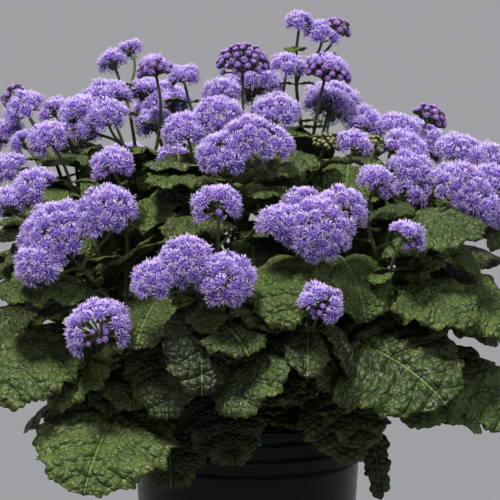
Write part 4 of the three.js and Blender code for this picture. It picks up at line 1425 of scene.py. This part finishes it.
def band_radius(i):
    return POT["lip_radius"] - POT["lip_overhang"] - POT["band_step"] * i


def band_top(i):
    return POT["height"] - POT["band_drop"] * i


RIDGE = 0.4  # of the rolled edge at the foot of each band


def pot_profile():
    bevel, height, wall = POT["bevel"], POT["height"], POT["wall"]
    outside = [
        (0, 0),
        (POT["base_radius"] - 2 * bevel, 0),
        (POT["base_radius"], 2 * bevel),
        (POT["body_radius"], BAND_FOOT),
    ]
    for i in reversed(range(POT["bands"])):
        foot = band_top(i + 1) + bevel
        outside += [(band_radius(i), foot), (band_radius(i) + RIDGE, foot + 0.6), (band_radius(i) + RIDGE, foot + 1.1)]
        outside.append((band_radius(i), foot + 2.2))
        outside.append((band_radius(i), band_top(i) if i else height - POT["lip_height"] - bevel))
    lip = [(POT["lip_radius"], height - POT["lip_height"]), (POT["lip_radius"], height)]
    inside = [
        (band_radius(0) - wall, height),
        (POT["body_radius"] - wall, BAND_FOOT - 2 * bevel),
        (POT["base_radius"] - wall, POT["floor"]),
        (0, POT["floor"]),
    ]
    return outside + lip + inside


def build_pot():
    bm = lathed(pot_profile(), 128)
    rings = [e for e in bm.edges if abs(e.verts[0].co.z - e.verts[1].co.z) < 1e-7 and e.calc_length() < 8 * MM
             and e.is_manifold and e.calc_face_angle(0) > 0.3]
    bmesh.ops.bevel(
        bm, geom=rings, offset=0.45 * MM, offset_type="OFFSET", segments=2, profile=0.5, affect="EDGES", material=-1
    )
    pot = piece("pot_shell", to_mesh(bm, "pot_shell"), [POT_SKIN], "pot", "pot")
    drills = bmesh.new()
    for i in range(DRAIN["count"]):
        a = 2 * math.pi * (i + 0.5) / DRAIN["count"]
        at = Matrix.Translation((DRAIN["ring"] * MM * math.cos(a), DRAIN["ring"] * MM * math.sin(a), 0))
        bmesh.ops.create_cone(
            drills, cap_ends=True, segments=24, radius1=DRAIN["radius"] * MM, radius2=DRAIN["radius"] * MM,
            depth=12 * MM, matrix=at,
        )
    drill = bpy.data.objects.new("drain_drill", to_mesh(drills, "drain_drill"))
    bpy.context.scene.collection.objects.link(drill)
    cut = pot.modifiers.new("drain", "BOOLEAN")
    cut.object, cut.operation, cut.solver = drill, "DIFFERENCE", "EXACT"
    bpy.context.view_layer.update()
    shaped = bpy.data.meshes.new_from_object(pot.evaluated_get(bpy.context.evaluated_depsgraph_get()))
    pot.modifiers.clear()
    pot.data = shaped
    bpy.data.objects.remove(drill)
    shaped.shade_smooth()
    return pot


def build_soil():
    edge, top = SOIL_EDGE, SOIL_TOP
    floor = POT["floor"] + CLEARANCE
    rings = [(r, top + SOIL_CROWN * (1 - r / (edge - 4))) for r in np.linspace(edge - 4, 0, 17)]
    profile = [(0, floor), (POT["base_radius"] - 3.1, floor), (edge, BAND_FOOT), (edge, top - 4), *rings]
    bm = lathed(profile, 72)
    for v in bm.verts:
        if v.co.z > (top - 5) * MM:
            rough = noise.fractal(v.co / (7 * MM), 0.6, 2.0, 4)
            v.co.z += 1.3 * MM * rough - 0.9 * MM
    soil = to_mesh(bm, "soil_peat")
    soil.shade_smooth()
    piece("soil_peat", soil, [PEAT], "soil", "soil")

    rng = np.random.default_rng(77)
    bm = bmesh.new()
    bmesh.ops.create_icosphere(bm, subdivisions=1, radius=1)
    crumb = to_mesh(bm, "crumb")
    count = 450
    radius = (edge - 3) * np.sqrt(rng.uniform(0, 1, count))
    angle = rng.uniform(0, 2 * math.pi, count)
    height = top + SOIL_CROWN * np.clip(1 - radius / (edge - 4), 0, 1) - 0.4
    at = np.stack([radius * np.cos(angle), radius * np.sin(angle), height], axis=1)
    places = placed(crumb, at, turned(rng.normal(0, 1, (count, 3)), angle), rng.gamma(4, 0.28, count))
    places += (places - at[:, None]) * rng.uniform(-0.4, 0.5, places.shape)
    places[..., 2] = np.minimum(places[..., 2], top + SOIL_CROWN + 1.5)
    piece("soil_crumbs", repeated(crumb, places), [PEAT], "soil", "soil")


build_pot()
build_soil()

# ---- Studio ----------------------------------------------------------------------------------------------
VIEW = {"distance": 1800, "pitch": 6, "target": (2, 0, 277), "pixels": 2639, "frame": 500, "sensor": 36}


def add_camera():
    data = bpy.data.cameras.new("camera")
    data.sensor_width = VIEW["sensor"]
    data.lens = VIEW["sensor"] * VIEW["pixels"] / VIEW["frame"]
    data.clip_start, data.clip_end = 0.05, 500
    pitch = math.radians(VIEW["pitch"])
    way = Vector((0, math.cos(pitch), -math.sin(pitch)))
    camera = bpy.data.objects.new("camera", data)
    camera.location = (Vector(VIEW["target"]) - way * VIEW["distance"]) * MM
    camera.rotation_euler = way.to_track_quat("-Z", "Y").to_euler()
    bpy.context.scene.collection.objects.link(camera)
    bpy.context.scene.camera = camera


def add_sun(name, azimuth, elevation, energy, spread, tint):
    data = bpy.data.lights.new(name, "SUN")
    data.energy, data.angle, data.color = energy, math.radians(spread), colour(tint)[:3]
    a, e = math.radians(azimuth), math.radians(elevation)
    back = Vector((math.sin(a) * math.cos(e), -math.cos(a) * math.cos(e), math.sin(e)))
    light = bpy.data.objects.new(name, data)
    light.rotation_euler = (-back).to_track_quat("-Z", "Y").to_euler()
    bpy.context.scene.collection.objects.link(light)


def add_floor():
    bm = bmesh.new()
    bmesh.ops.create_grid(bm, x_segments=1, y_segments=1, size=90)
    floor = bpy.data.objects.new("studio_floor", to_mesh(bm, "studio_floor"))
    material, _, _ = new_material("studio_paper", Base_Color=colour("6f7176"), Roughness=0.95)
    floor.data.materials.append(material)
    bpy.context.scene.collection.objects.link(floor)


def add_studio():
    add_camera()
    add_floor()
    add_sun("key", -34, 68, 5.7, 12, "fffaf4")
    add_sun("fill", 40, 46, 1.0, 30, "f4f6ff")
    world = bpy.data.worlds.new("studio")
    world.use_nodes = True
    background = world.node_tree.nodes["Background"]
    background.inputs["Color"].default_value = colour("c9ccd2")
    background.inputs["Strength"].default_value = 0.25
    bpy.context.scene.world = world
    bpy.context.scene.view_settings.view_transform = "Standard"


add_studio()
